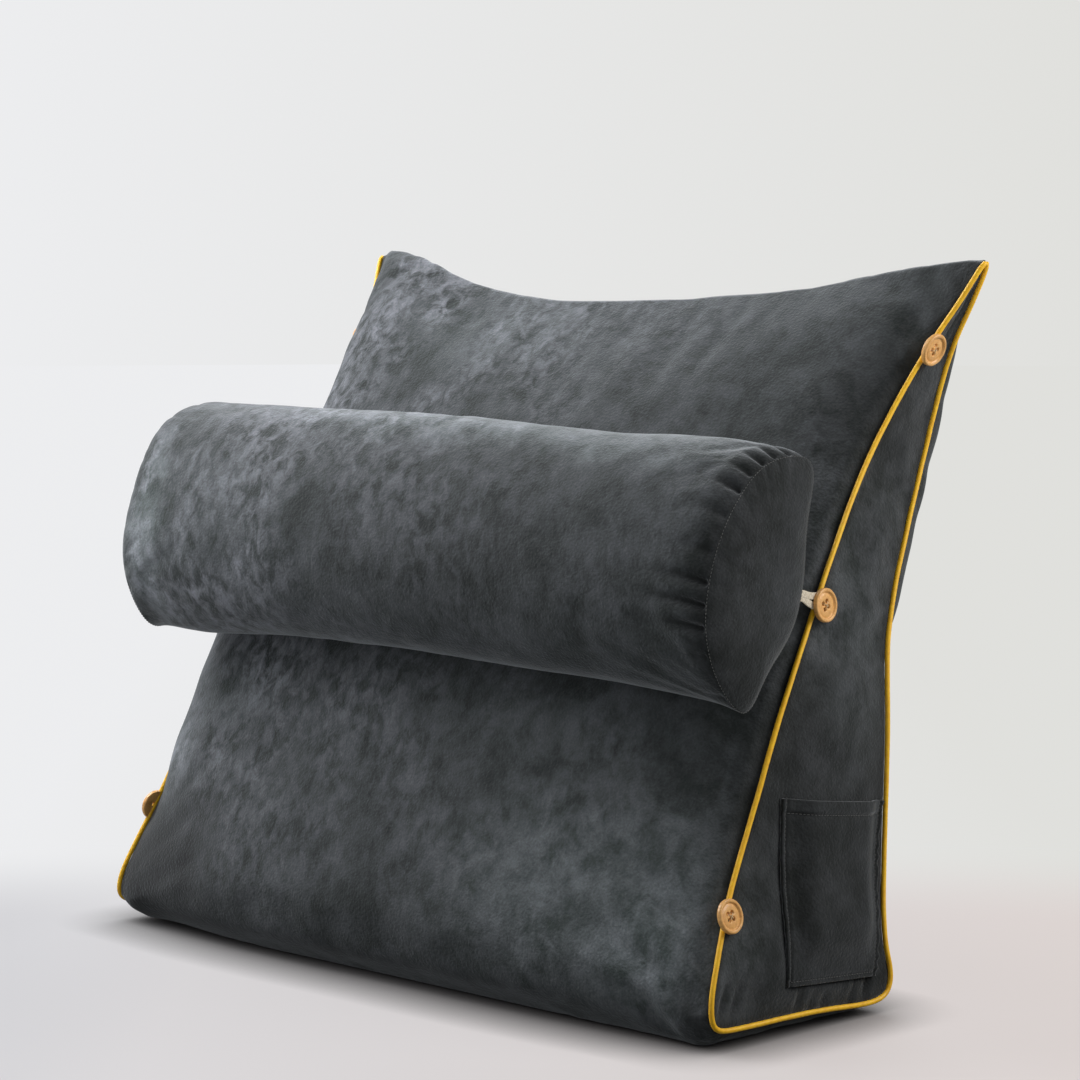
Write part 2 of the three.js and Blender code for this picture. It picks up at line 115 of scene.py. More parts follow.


# The floor near the cushion takes its shadow, and fades into the backdrop's tone all round it. For the
# camera it also glows, as painted light that softens its shadows, and the glow is dimmed near the cushion
# as a painted contact shadow.
def makeFloor():
    bm = bmesh.new()
    bmesh.ops.create_circle(bm, cap_ends=True, segments=96, radius=studio.floorRadius)
    floor = meshed("floor", bm)
    floor.location.z = -studio.floorDrop
    material, tree, shader, where = newMaterial("paleFloor")
    feed(shader, {"Base Color": [studio.floorAlbedo] * 3, "Roughness": 0.7, "Specular IOR Level": 0.2})
    turned = found(tree, "Mapping", {"Vector": where, "Rotation": (0, 0, -radians(camera.turn))})
    pool = found(tree, "Mapping", {"Vector": turned, "Location": (0, studio.poolAhead, 0),
                                   "Scale": (1 / studio.poolWidth, 1, 1)})
    distance = combined(tree, "LENGTH", pool)
    fade = mapped(tree, distance, studio.fadeFrom, studio.fadeTo, way="SMOOTHSTEP")
    span = studio.floorSpan
    near = sideTone(tree, where, -span, span, studio.floorLeft, studio.floorRight)
    # A painted shadow darkens the floor at the far left.
    near = sideTone(tree, where, studio.farFrom, studio.farTo, studio.floorFarLeft, near)
    # Painted contact shadow: the floor's glow is darker near the cushion.
    contactShade = add(tree, "AmbientOcclusion", {"Color": near, "Distance": studio.contact}).outputs
    shadedGlow = product(tree, found(tree, "LightPath"), contactShade["AO"])
    paintedGlow = found(tree, "Emission", {"Color": contactShade["Color"], "Strength": shadedGlow})
    both = found(tree, "AddShader", {0: shader.outputs[0], 1: paintedGlow})
    backdrop = sideTone(tree, where, -span, span, studio.backLeft, studio.backRight)
    glow = found(tree, "Emission", {"Color": backdrop})
    feed(tree.nodes["Material Output"], {"Surface": found(tree, "MixShader", {0: fade, 1: both, 2: glow})})
    floor.data.materials.append(material)


def newMaterial(name):
    material = bpy.data.materials.new(name)
    material.use_nodes = True
    tree = material.node_tree
    return material, tree, tree.nodes["Principled BSDF"], add(tree, "TexCoord").outputs["Object"]


# Each input is linked to the socket that is given, or takes the value.
def feed(made, inputs):
    for label, value in inputs.items():
        socket = made.inputs[label]
        if isinstance(value, bpy.types.NodeSocket):
            made.id_data.links.new(value, socket)
        else:
            socket.default_value = (*value, 1) if socket.type == "RGBA" else value
    return made


def add(tree, kind, inputs={}, **settings):
    made = tree.nodes.new(kind if "Node" in kind else "ShaderNode" + kind)
    for name, value in settings.items():
        setattr(made, name, value)
    return feed(made, inputs)


# The first output of a new node.
def found(*what, **settings):
    return add(*what, **settings).outputs[0]


def mapped(tree, value, start, end, least=0, most=1, way="LINEAR"):
    return found(tree, "MapRange", {0: value, 1: start, 2: end, 3: least, 4: most}, interpolation_type=way)


def product(tree, first, second):
    return found(tree, "Math", {0: first, 1: second}, operation="MULTIPLY")


def combined(tree, way, first, second=(0, 0, 0)):
    made = add(tree, "VectorMath", {0: first, 1: second}, operation=way)
    return made.outputs["Value" if way in ("LENGTH", "DOT_PRODUCT") else "Vector"]


def scaled(tree, value, scale):
    return found(tree, "VectorMath", {0: value, "Scale": scale}, operation="SCALE")


def bumped(tree, height, strength, distance, normal=None):
    inputs = {"Height": height, "Strength": strength, "Distance": distance}
    return found(tree, "Bump", inputs if normal is None else {**inputs, "Normal": normal})


# Mesh helpers

def pointsOf(piece, mesh=None):
    vertices = (mesh or piece.data).vertices
    flat = np.empty(len(vertices) * 3)
    vertices.foreach_get("co", flat)
    return flat.reshape(-1, 3)


def setPoints(piece, points):
    piece.data.vertices.foreach_set("co", np.asarray(points, np.float32).ravel())
    piece.data.update()


def normalsOf(piece):
    flat = np.empty(len(piece.data.vertices) * 3)
    piece.data.vertex_normals.foreach_get("vector", flat)
    return flat.reshape(-1, 3)


def linked(name, data):
    holder = bpy.data.objects.new(name, data)
    scene.collection.objects.link(holder)
    return holder


def opened(piece, within=0):
    bm = bmesh.new()
    bm.from_mesh(piece.data)
    if within:
        bmesh.ops.remove_doubles(bm, verts=bm.verts, dist=within)
    return bm


def meshed(name, bm):
    mesh = bpy.data.meshes.new(name)
    bm.to_mesh(mesh)
    bm.free()
    return linked(name, mesh)


def newPiece(name, points, faces, edges=()):
    mesh = bpy.data.meshes.new(name)
    mesh.from_pydata([tuple(p) for p in points], edges, [tuple(int(i) for i in f) for f in faces])
    mesh.update()
    return linked(name, mesh)


def faceOut(piece):
    bm = opened(piece)
    bmesh.ops.recalc_face_normals(bm, faces=bm.faces)
    bm.to_mesh(piece.data)
    bm.free()
    return piece


# Modifiers become a plain mesh, and none is left on the piece.
def makePlain(piece):
    bpy.context.view_layer.update()
    graph = bpy.context.evaluated_depsgraph_get()
    shape = piece.evaluated_get(graph)
    mesh = bpy.data.meshes.new_from_object(shape, preserve_all_data_layers=True, depsgraph=graph)
    piece.modifiers.clear()
    old = piece.data
    piece.data = mesh
    bpy.data.meshes.remove(old)
    mesh.name = piece.name
    return piece


def subdivide(piece, levels):
    modifier = piece.modifiers.new("finer", "SUBSURF")
    modifier.levels = modifier.render_levels = levels
    return makePlain(piece)


def treeOf(node):
    bm = opened(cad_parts[node])
    tree = BVHTree.FromBMesh(bm)
    bm.free()
    return tree


def distanceTo(tree, points, reach):
    out = np.full(len(points), reach)
    for i, p in enumerate(points):
        hit = tree.find_nearest(Vector(p), reach)
        if hit[0] is not None:
            out[i] = hit[3]
    return out


def ease(low, high, value):
    t = np.clip((value - low) / (high - low), 0, 1)
    return t * t * (3 - 2 * t)


def fading(value, width):
    return np.exp(-value / width)


def bell(value, width):
    return np.exp(-(value / width) ** 2)


# Tables of places are written in millimetres.
def metres(value):
    return value / 1000 if np.isscalar(value) else tuple(metres(part) for part in value)


def column(values):
    return np.asarray(values)[..., None]


def lengths(vectors):
    return np.linalg.norm(vectors, axis=1)


def unit(vectors):
    return vectors / column(lengths(vectors))


# Moves each point this far along its normal.
def moveBy(piece, amount):
    setPoints(piece, pointsOf(piece) + normalsOf(piece) * column(amount))


def softNoise(points, size, seed=0.0):
    return np.array([noise.noise(Vector(p / size) + Vector((seed, seed * 1.7, -seed))) for p in points])


def finishPiece(piece, material, slot, *nodes):
    piece.data.materials.clear()
    piece.data.materials.append(material)
    piece.data.shade_smooth()
    if nodes:
        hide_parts(*nodes)
    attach(piece, "root")


clothRules = {"quality": 6, "mass": 0.3, "vertex_group_mass": "sewn", "use_pressure": True,
              "tension_stiffness": 14, "compression_stiffness": 14}


# The cover is filled by pressure with its seams held, and no point moves further than its room.
def fillCover(piece, sewn, cloth, room):
    start = pointsOf(piece)
    group = piece.vertex_groups.new(name="sewn")
    group.add([int(i) for i in sewn], 1.0, "REPLACE")
    modifier = piece.modifiers.new("filling", "CLOTH")
    for name, value in {**clothRules, **cloth["settings"]}.items():
        setattr(modifier.settings, name, value)
    modifier.settings.effector_weights.gravity = 0
    modifier.collision_settings.use_collision = False
    modifier.point_cache.frame_start = 1
    modifier.point_cache.frame_end = cloth["frames"]
    for step in range(1, cloth["frames"] + 1):
        scene.frame_set(step)
    shape = piece.evaluated_get(bpy.context.evaluated_depsgraph_get())
    move = pointsOf(piece, shape.to_mesh()) - start
    shape.to_mesh_clear()
    piece.modifiers.clear()
    piece.vertex_groups.remove(group)
    scene.frame_set(1)
    length = lengths(move)
    soft = room * np.tanh(length / np.maximum(room, 1e-6)) / np.maximum(length, 1e-9)
    setPoints(piece, start + move * column(soft))


# The filling has less room in these places, so no stray folds form there.
def calmed(room, points, rows):
    for place, reach in rows:
        room = room * (1 - 0.9 * bell(lengths(points - place), reach))
    return room


# How deep in a fold or seam each point lies, from 0 to 1, is kept for the cloth's material, which paints
# shade there.
def markFoldShade(piece, values):
    layer = piece.data.attributes.new("fold", "FLOAT", "POINT")
    layer.data.foreach_set("value", np.clip(values, 0, 1).astype(np.float32))


# Soft troughs and ridges, each from one point to another, pressed along the cloth's normals.
def pressCreases(piece, rows):
    points = pointsOf(piece)
    shift, trough = np.zeros((2, len(points)))
    for start, end, width, depth in rows:
        along = np.array(end) - start
        share = np.clip((points - start) @ along / (along @ along), 0, 1)
        away = lengths(points - start - column(share) * along) / width
        fade = np.sin(pi * np.clip(0.08 + 0.92 * share, 0, 1)) ** 0.6
        shift -= depth * fade * (1 - 0.9 * away ** 2) * bell(away, 1)
        # How deep each point lies in a crease, for the painted shade of the cloth's material.
        trough = np.maximum(trough, depth / wedge.creaseFull * fade * bell(1.5 * away, 1))
    moveBy(piece, shift)
    return trough


# Materials

suede = Table(
    dark=(0.0150, 0.0195, 0.0192), mid=(0.048, 0.0545, 0.059), light=(0.162, 0.172, 0.198),
    sheen=0.44, sheenTint=(0.70, 0.75, 0.80), grain=0.0005, pebble=0.0021, fuzz=0.0003,
    # The tone past the two X places given is painted shade on the right side panel and the roll's right
    # end.
    ragged=0.05, raggedSize=0.035, endFrom=(0.266, 0.284), endTone=0.50, foldTone=0.30,
    # Layers of blotches: size, detail, stretch, low, high, warp and roughness.
    cloud=(0.028, 8, (1, 1, 1), 0.39, 0.61, 0.3, 0.64),
    brushed=(0.0125, 7, (1.2, 1.2, 0.8), 0.41, 0.63, 0.4, 0.62),
    places=(0.10, 3, (1, 1, 1), 0.34, 0.58),
    speck=(0.0016, 3, (1, 1, 1), 0.3, 0.7),
)
# How much of the nap's blotches, partly painted sheen, shows: the axis, where it starts and ends to
# change, and its share before and after.
napAndSheenBands = (("X", 0.12, -0.24, 0.20, 1.0), ("X", -0.286, -0.272, 0.3, 1.0), ("Z", 0.04, 0.24, 0.45, 1.0))
# Lighter and darker places, partly where the nap lies another way and partly painted highlights and
# painted shade: where, how far each way, and the tone in the middle.
napLightAndShadePlaces = [
    ((210, -130, 80), (230, 120, 115), 2.5),
    # Painted shade in the lower left corner of the sloping face.
    ((-275, -140, 40), (170, 100, 140), 0.1),
    ((262, -134, 55), (80, 70, 70), 1.6),
    # Painted shade on the upper right of the sloping face, in these two rows.
    ((270, 98, 390), (40, 50, 80), 0.72),
    ((255, 75, 400), (80, 100, 100), 0.72),
    ((286, 26, 245), (50, 60, 140), 2.0),
    ((-262, -145, 300), (32, 120, 140), 3.0),
    ((-190, -150, 300), (150, 100, 120), 1.35),
    ((120, -90, 190), (150, 70, 50), 1.2),
    # A painted highlight along the top of the neck roll.
    ((70, -70, 396), (360, 70, 40), 2.8),
    ((60, -145, 300), (250, 90, 80), 0.86),
    ((-210, -85, 190), (90, 60, 50), 1.35),
    ((290, -60, 285), (20, 35, 55), 1.3),
    ((290, -80, 335), (20, 35, 35), 0.8),
    ((-130, 95, 445), (160, 80, 60), 1.45),
    # A painted highlight on the wedge's lower left edge.
    ((-280, -110, 115), (60, 60, 60), 2.3),
]


def mixColour(tree, factor, first, second, blend="MIX"):
    mixer = add(tree, "Mix", {0: factor, 6: first, 7: second}, data_type="RGBA", blend_type=blend)
    return mixer.outputs["Result"]


def blotch(tree, where, size, detail, stretch=(1, 1, 1), low=0.35, high=0.65, warp=0.0, rough=0.6):
    place = found(tree, "Mapping", {"Vector": where, "Scale": stretch})
    inputs = {"Vector": place, "Scale": 1 / size, "Detail": detail, "Roughness": rough, "Distortion": warp}
    return mapped(tree, found(tree, "TexNoise", inputs), low, high)


# The brushed nap's light blotches are partly the cloth's mottle and partly painted sheen: they show most
# to the left and high up, where the light falls, and elsewhere only in places.
def napAndSheenShare(tree, where, share):
    apart = add(tree, "SeparateXYZ", {0: where}).outputs
    for axis, start, end, least, most in napAndSheenBands:
        share = product(tree, mapped(tree, apart[axis], start, end, least, most), share)
    return share


# The cloth is lighter or darker in a soft uneven patch round each place, partly where the nap lies another
# way and partly as painted highlights and painted shade.
def napLightAndShadeTone(tree, where):
    ragged = add(tree, "TexNoise", {"Vector": where, "Scale": 1 / suede.raggedSize, "Detail": 4})
    step = combined(tree, "SUBTRACT", ragged.outputs["Color"], (0.5, 0.5, 0.5))
    moved = combined(tree, "ADD", where, scaled(tree, step, suede.ragged))
    apart = add(tree, "SeparateXYZ", {0: where}).outputs
    # Painted shade: the cloth is darker towards the right side panel and the roll's right end.
    tone = mapped(tree, apart["X"], *suede.endFrom, 1.0, suede.endTone)
    for place, reach, amount in napLightAndShadePlaces:
        share = combined(tree, "DIVIDE", combined(tree, "SUBTRACT", moved, metres(place)), metres(reach))
        share = combined(tree, "LENGTH", share)
        tone = product(tree, tone, mapped(tree, share, 0.1, 1.0, amount, 1.0, "SMOOTHERSTEP"))
    return tone


# Painted shade: folds and seams are darker, as less light comes into their pile.
def foldTone(tree, tone):
    fold = add(tree, "Attribute", attribute_name="fold").outputs[2]
    return product(tree, mapped(tree, fold, 0, 1, 1, suede.foldTone), tone)


def suedeMaterial(name):
    material, tree, shader, where = newMaterial(name)
    layers = (suede.cloud, suede.brushed, suede.places, suede.speck)
    cloud, brushed, places, speck = (blotch(tree, where, *layer) for layer in layers)
    base = mixColour(tree, cloud, suede.dark, suede.mid)
    # The light blotches of the nap, partly the cloth's mottle and partly painted sheen.
    sheenNapped = mixColour(tree, brushed, base, suede.light)
    half = mixColour(tree, napAndSheenShare(tree, where, places), base, sheenNapped)
    fine = mixColour(tree, speck, (0.80, 0.80, 0.80), (1.18, 1.18, 1.18))
    dyed = mixColour(tree, 1.0, half, fine, "MULTIPLY")
    pebble = found(tree, "TexVoronoi", {"Vector": where, "Scale": 1 / suede.pebble, "Smoothness": 0.8},
                   feature="SMOOTH_F1")
    fuzz = bumped(tree, speck, 0.5, suede.fuzz)
    feed(shader, {"Base Color": scaled(tree, dyed, foldTone(tree, napLightAndShadeTone(tree, where))),
                  "Roughness": 0.88, "Specular IOR Level": 0.25, "Sheen Weight": suede.sheen,
                  "Sheen Roughness": 0.45, "Sheen Tint": suede.sheenTint,
                  "Normal": bumped(tree, pebble, 0.6, suede.grain, fuzz)})
    return material


# A material with soft blotches of two tones: their size and detail, the tones, and the shader's values.
def dyed(name, size, detail, shade, tone, **values):
    material, tree, shader, where = newMaterial(name)
    blotches = blotch(tree, where, size, detail)
    feed(shader, {"Base Color": mixColour(tree, blotches, shade, tone),
                  **{label.replace("_", " "): value for label, value in values.items()}})
    return material, tree, shader, where, blotches


def pipingMaterial(rib=0.0011):
    material, tree, shader, *_ = dyed(
        "goldenPiping", 0.004, 4, (0.88, 0.46, 0.010), (1.0, 0.60, 0.014),
        Roughness=0.5, Sheen_Weight=0.4, Sheen_Roughness=0.4, Sheen_Tint=(1.0, 0.72, 0.20))
    along = add(tree, "TexCoord").outputs["UV"]
    weave = add(tree, "TexWave", {"Vector": along, "Scale": 1 / rib / 6.3, "Distortion": 0.6},
                bands_direction="DIAGONAL").outputs[1]
    feed(shader, {"Normal": bumped(tree, weave, 0.5, 0.00012)})
    return material


def elasticMaterial():
    material, tree, shader, _, spots = dyed(
        "creamElastic", 0.0012, 3, (0.50, 0.43, 0.31), (0.78, 0.72, 0.60), Roughness=0.7, Sheen_Weight=0.2)
    feed(shader, {"Normal": bumped(tree, spots, 1.0, 0.0001)})
    return material


def woodMaterial():
    material, tree, shader, where = newMaterial("buttonWood")
    grain = blotch(tree, where, 0.0032, 6, (0.3, 1.5, 1.5), 0.3, 0.7, 0.8)
    pores = blotch(tree, where, 0.0007, 3, (0.3, 1.5, 1.5), 0.5, 0.72)
    board = mixColour(tree, grain, (0.70, 0.35, 0.105), (0.90, 0.52, 0.175))
    dark = mixColour(tree, pores, (1.0, 1.0, 1.0), (0.78, 0.70, 0.60))
    feed(shader, {"Base Color": mixColour(tree, 1.0, board, dark, "MULTIPLY"), "Roughness": 0.42,
                  "Coat Weight": 0.15, "Normal": bumped(tree, pores, 0.3, 0.0001)})
    return material


def threadMaterial(name, colour):
    return dyed(name, 0.0008, 2, tuple(v * 0.7 for v in colour), colour, Roughness=0.6)[0]


# The wedge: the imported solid, made smooth between its side seams, filled and creased.

wedge = Table(
    flatAngle=24, smoothLevels=2, reach=0.004, clear=0.45, unevenness=0.0012,
    ridgeAngle=35, ridgeFrom=0.44, ridgeCrease=0.8, seamLift=0.0007, seamShade=0.0036,
    lip=0.0014, lipWidth=0.007, creaseFull=0.0024,
)
# Where the cushion is fuller or flatter than its packed form, with its piping and buttons.
# Each row: the middle, the spread each way, and the push there.
shifts = metres([
    ((-285, 90, 405), (100, 160, 66), (-14, 0, 0)),
    ((-300, 70, 395), (55, 80, 55), (0, 8, 0)),
    ((290, 115, 390), (80, 50, 90), (0, 3.5, 0)),
    ((-300, -125, 60), (80, 50, 55), (0, 6, 0)),
    ((300, 147, 500), (90, 50, 22), (0, 0, 4)),
    ((0, 147, 470), (160, 50, 22), (0, 0, 3)),
    ((-195, 147, 475), (65, 50, 22), (0, 0, 4.5)),
    ((300, 142, 425), (60, 16, 55), (0, -3, 0)),
    ((-265, -150, 0), (50, 40, 20), (0, 0, 6)),
    ((-300, -142, 14), (30, 30, 18), (-2, -4.5, -3)),
    ((50, -152, 0), (190, 20, 12), (0, 2, 5.5)),
    ((300, -141, 10), (30, 18, 18), (0, -3.5, -4)),
    ((300, 55, 30), (60, 30, 60), (0, 3.5, 0)),
])
# Fuller cloth by the ends of the top edge, whose seams stay where they are.
bulges = metres([
    ((-262, 145, 487), (50, 50, 35), (0, 0, 10)),
    ((225, 145, 485), (80, 50, 35), (0, 0, 4)),
])
# The front and back panels rise steeply from the side seams: side, face, where the fullness
# starts, where it ends, and how much.
edgeFullness = [
    (-1, -1, (0.08, 0.14), (0.28, 0.34), 0.009),
    (-1, -1, (0.28, 0.34), (0.42, 0.5), 0.016),
    (-1, -1, (0.425, 0.475), (0.49, 0.51), 0.0052),
    (1, -1, (0.05, 0.13), (0.4, 0.48), 0.006),
    (-1, 1, (0.05, 0.16), (0.4, 0.48), 0.008),
    (1, 1, (0.21, 0.28), (0.46, 0.5), 0.013),
]
fullness = Table(rise=0.013, width=0.055)
wedgeCloth = {"frames": 20, "settings": {
    "shear_stiffness": 5, "bending_stiffness": 0.4, "uniform_pressure_force": 2.2, "shrink_min": -0.006}}
# Drag creases on the right side panel under the pocket, and soft pulls by the corners: start, end,
# width and depth.
wedgeCreases = metres([
    ((300, -51, 14), (299, -44, 32), 3.6, 2.2),
    ((300, -38, 13), (299, -30, 30), 3.4, 2),
    ((300, -24, 13), (299, -17, 28), 3.4, 1.9),
    ((300, 4, 11), (299, 12, 28), 3.8, 2.2),
    ((300, 21, 11), (299, 29, 34), 3.6, 2.2),
    ((300, -112, 22), (296, -100, 48), 4.5, 2),
    ((300, -124, 24), (297, -114, 44), 4, 1.8),
    ((283, 106, 440), (262, 98, 452), 6, 2.6),
    ((284, 100, 428), (262, 86, 424), 5, 1.8),
    ((296, -128, 20), (262, -136, 40), 6, 1.8),
    ((292, -128, 16), (270, -133, 22), 4.5, 1.6),
])


# Faces that meet at less than the flat angle belong to one panel, so the flood stops at a side seam.
def sidePanelFaces(bm):
    limit = radians(wedge.flatAngle)
    seen, panels = set(), []
    for first in bm.faces:
        if first in seen:
            continue
        seen.add(first)
        panel, waiting = [], [first]
        while waiting:
            face = waiting.pop()
            panel.append(face)
            for edge in face.edges:
                for other in edge.link_faces:
                    if other not in seen and face.normal.angle(other.normal, pi) < limit:
                        seen.add(other)
                        waiting.append(other)
        middle = sum(face.calc_center_median().x for face in panel) / len(panel)
        if len(panel) > 100 and abs(middle) > 0.2:
            panels.append(set(panel))
    return panels


def smoothWedge():
    bm = opened(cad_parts["wedge_cushion"], 2e-5)
    crease = bm.edges.layers.float.new("crease_edge")
    bm.normal_update()
    sides = sidePanelFaces(bm)
    seams = [e for e in bm.edges if any((e.link_faces[0] in s) != (e.link_faces[1] in s) for s in sides)]
    ridge = set()
    for edge in bm.edges:
        high = min(v.co.z for v in edge.verts) > wedge.ridgeFrom
        if high and edge.calc_face_angle() > radians(wedge.ridgeAngle):
            edge[crease] = wedge.ridgeCrease
            edge.smooth = False
            ridge.update(v.index for v in edge.verts)
    for edge in seams:
        edge[crease] = 1
        edge.smooth = False
    bmesh.ops.join_triangles(
        bm, faces=bm.faces, cmp_sharp=True, angle_face_threshold=pi, angle_shape_threshold=pi)
    for edge in bm.edges:
        edge.smooth = True
    piece = meshed("wedgeCover", bm)
    piece.vertex_groups.new(name="ridge").add(sorted(ridge), 1.0, "REPLACE")
    return subdivide(piece, wedge.smoothLevels)


def seamLoops(piece):
    crease = piece.data.attributes["crease_edge"].data
    beside = {}
    for edge in piece.data.edges:
        if crease[edge.index].value > 0.99:
            a, b = edge.vertices
            beside.setdefault(a, []).append(b)
            beside.setdefault(b, []).append(a)
    loops = []
    while beside:
        loop, onward = [], [min(beside)]
        while onward:
            loop.append(onward[0])
            onward = [v for v in beside.pop(onward[0]) if v in beside]
        loops.append(loop)
    return [loop for loop in loops if len(loop) > 40]


# The seam meets the piping, and each panel rises in a soft lip beside it.
def raiseLips(piece, away):
    seam = fading(away, 0.0003)
    lip = wedge.lip * (1 - seam) * np.exp(-(away / wedge.lipWidth) ** 1.3)
    moveBy(piece, lip + wedge.seamLift * seam)


def filledOut(points, normals, away):
    lift = np.zeros(len(points))
    panel = 1 - ease(0.55, 0.85, np.abs(normals[:, 0]))
    past = np.maximum(away - fullness.rise, 0)
    profile = ease(0, fullness.rise, away) * bell(past, fullness.width)
    for side, face, low, high, depth in edgeFullness:
        here = (points[:, 0] * side > 0) & (normals[:, 1] * face > 0)
        lift += here * ease(*low, points[:, 2]) * (1 - ease(*high, points[:, 2])) * depth
    return normals * column(lift * panel * profile)


def pushed(points, rows):
    move = np.zeros(np.shape(points))
    for place, spread, push in rows:
        off = (np.asarray(points) - place) / spread
        move += column(np.exp(-np.sum(off ** 2, axis=1))) * push
    return move


def lineTree(loops):
    points = []
    for loop in loops:
        for p, q in zip(loop, np.roll(loop, -1, 0)):
            points += [tuple(p), tuple(q), tuple((p + q) / 2 + 1e-6)]
    return BVHTree.FromPolygons(points, [(i, i + 1, i + 2) for i in range(0, len(points), 3)])


def makeWedge():
    piece = smoothWedge()
    loops = seamLoops(piece)
    start = pointsOf(piece)
    ridge = np.array([v.index for v in piece.data.vertices if any(g.weight > 0.8 for g in v.groups)])
    base = np.flatnonzero(start[:, 2] < 0.0008)
    gap = np.minimum(*(distanceTo(treeOf(node), start, 0.03) for node in ("neck_roll", "pocket")))
    room = np.minimum(wedge.reach, wedge.clear * gap)
    room = calmed(room, start, [((-0.30, -0.13, 0.07), 0.17)])
    fillCover(piece, np.unique(np.concatenate([*loops, ridge, base])), wedgeCloth, room)
    piece.vertex_groups.clear()
    points = pointsOf(piece)
    setPoints(piece, points + pushed(points, shifts))
    seamPoints = [pointsOf(piece)[loop] for loop in loops]
    subdivide(piece, 1)
    points = pointsOf(piece)
    away = distanceTo(lineTree(seamPoints), points, 0.35)
    points = points + pushed(points, bulges) * column(ease(0.0, 0.012, away))
    setPoints(piece, points + filledOut(points, normalsOf(piece), away))
    trough = pressCreases(piece, wedgeCreases)
    # The creases and a band along the side seams are marked for painted shade.
    markFoldShade(piece, np.maximum(trough, 0.8 * bell(away, wedge.seamShade)))
    points = pointsOf(piece)
    swell = softNoise(points, 0.07, 3.1) + 0.5 * softNoise(points, 0.03, 8.4)
    swell *= wedge.unevenness * ease(0.004, 0.03, away) * ease(0.001, 0.03, points[:, 2])
    moveBy(piece, swell)
    raiseLips(piece, away)
    points = pointsOf(piece)
    points[:, 2] = np.maximum(points[:, 2], 0)
    setPoints(piece, points)
    return piece, seamPoints


# Piping round each side panel, in the groove of the seam.

piping = Table(radius=0.0018, stand=0.0026, sides=14, step=0.0022, wobble=0.00018, uneven=0.03)


def walkedAlong(points):
    return np.append(0, np.cumsum(lengths(np.diff(points, axis=0))))


def pointsAt(points, walked, at):
    return np.stack([np.interp(at, walked, values) for values in points.T], axis=1)


def evenly(points, step, closed):
    points = np.asarray(points, float)
    if closed:
        points = np.vstack([points, points[:1]])
    walked = walkedAlong(points)
    count = max(int(round(walked[-1] / step)), 8)
    out = pointsAt(points, walked, np.linspace(0, walked[-1], count + 1))
    return out[:-1] if closed else out


def softened(points, rounds, closed):
    points = points.copy()
    for _ in range(rounds):
        if closed:
            points = (np.roll(points, 1, 0) + 2 * points + np.roll(points, -1, 0)) / 4
        else:
            points[1:-1] = (points[:-2] + 2 * points[1:-1] + points[2:]) / 4
    return points


def tangentsOf(path, closed):
    if closed:
        return unit(np.roll(path, -1, 0) - np.roll(path, 1, 0))
    return unit(np.gradient(path, axis=0))


# Four-sided faces between neighbouring rings of points.
def ringFaces(rings, sides, closed=False):
    faces = []
    for i in range(rings if closed else rings - 1):
        after = (i + 1) % rings * sides
        for j in range(sides):
            side = (j + 1) % sides
            faces.append((i * sides + j, i * sides + side, after + side, after + j))
    return faces


# A tube of any section along a path, with U round it and V along it in metres.
def sweep(name, path, outward, section, closed):
    along = tangentsOf(path, closed)
    out = unit(outward - along * column(np.sum(outward * along, axis=1)))
    across = np.cross(along, out)
    if section.ndim == 2:
        section = np.repeat(section[None], len(path), axis=0)
    rings = path[:, None] + across[:, None] * section[..., :1] + out[:, None] * section[..., 1:]
    count, sides = rings.shape[:2]
    faces = ringFaces(count, sides, closed)
    walked = walkedAlong(path)
    walked = np.append(walked, walked[-1] + np.linalg.norm(path[0] - path[-1]))
    girth = tau * np.abs(section[0]).max()
    corners = []
    for i in range(len(faces) // sides):
        for j in range(sides):
            u, v = j / sides * girth, (j + 1) / sides * girth
            corners += [(u, walked[i]), (v, walked[i]), (v, walked[i + 1]), (u, walked[i + 1])]
    points = rings.reshape(-1, 3)
    if not closed:
        points = np.vstack([points, points[:sides].mean(0), points[-sides:].mean(0)])
        last = (count - 1) * sides
        for j in range(sides):
            side = (j + 1) % sides
            faces += [(side, j, count * sides), (last + j, last + side, count * sides + 1)]
            corners += [(0, 0)] * 6
    piece = newPiece(name, points, faces)
    layer = piece.data.uv_layers.new(name="along")
    layer.data.foreach_set("uv", np.array(corners, np.float32).ravel())
    return faceOut(piece)


def roundSection(radius, sides):
    turn = np.arange(sides) / sides * tau
    return np.stack([np.cos(turn) * radius, np.sin(turn) * radius], axis=1)


# The piping's middle stands off the seam, half outwards from the side panel and half from the edge.
def pipingPath(seam, side):
    path = evenly(seam, 0.004, True)
    along = tangentsOf(path, True)
    out = unit(np.stack([np.zeros(len(path)), along[:, 2], -along[:, 1]], axis=1))
    if np.sum((path - path.mean(0)) * out) < 0:
        out = -out
    flat = piping.stand / sqrt(2)
    moved = path + out * flat + np.array([side * flat, 0, 0])
    return evenly(softened(evenly(moved, 0.003, True), 3, True), piping.step, True)


def makePiping(seam, hand):
    side = hands[hand]
    path = pipingPath(seam, side)
    path += piping.wobble * np.stack([softNoise(path, 0.02, s) for s in (1.0, 5.0, 9.0)], axis=1)
    thick = 1 + piping.uneven * softNoise(path, 0.009, 4.0)
    section = roundSection(piping.radius, piping.sides)[None] * thick[:, None, None]
    return sweep("piping_%s_cord" % hand, path, np.array([side, 0, 0]), section, True)


# The neck roll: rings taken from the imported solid, gathered at the ends, then filled.

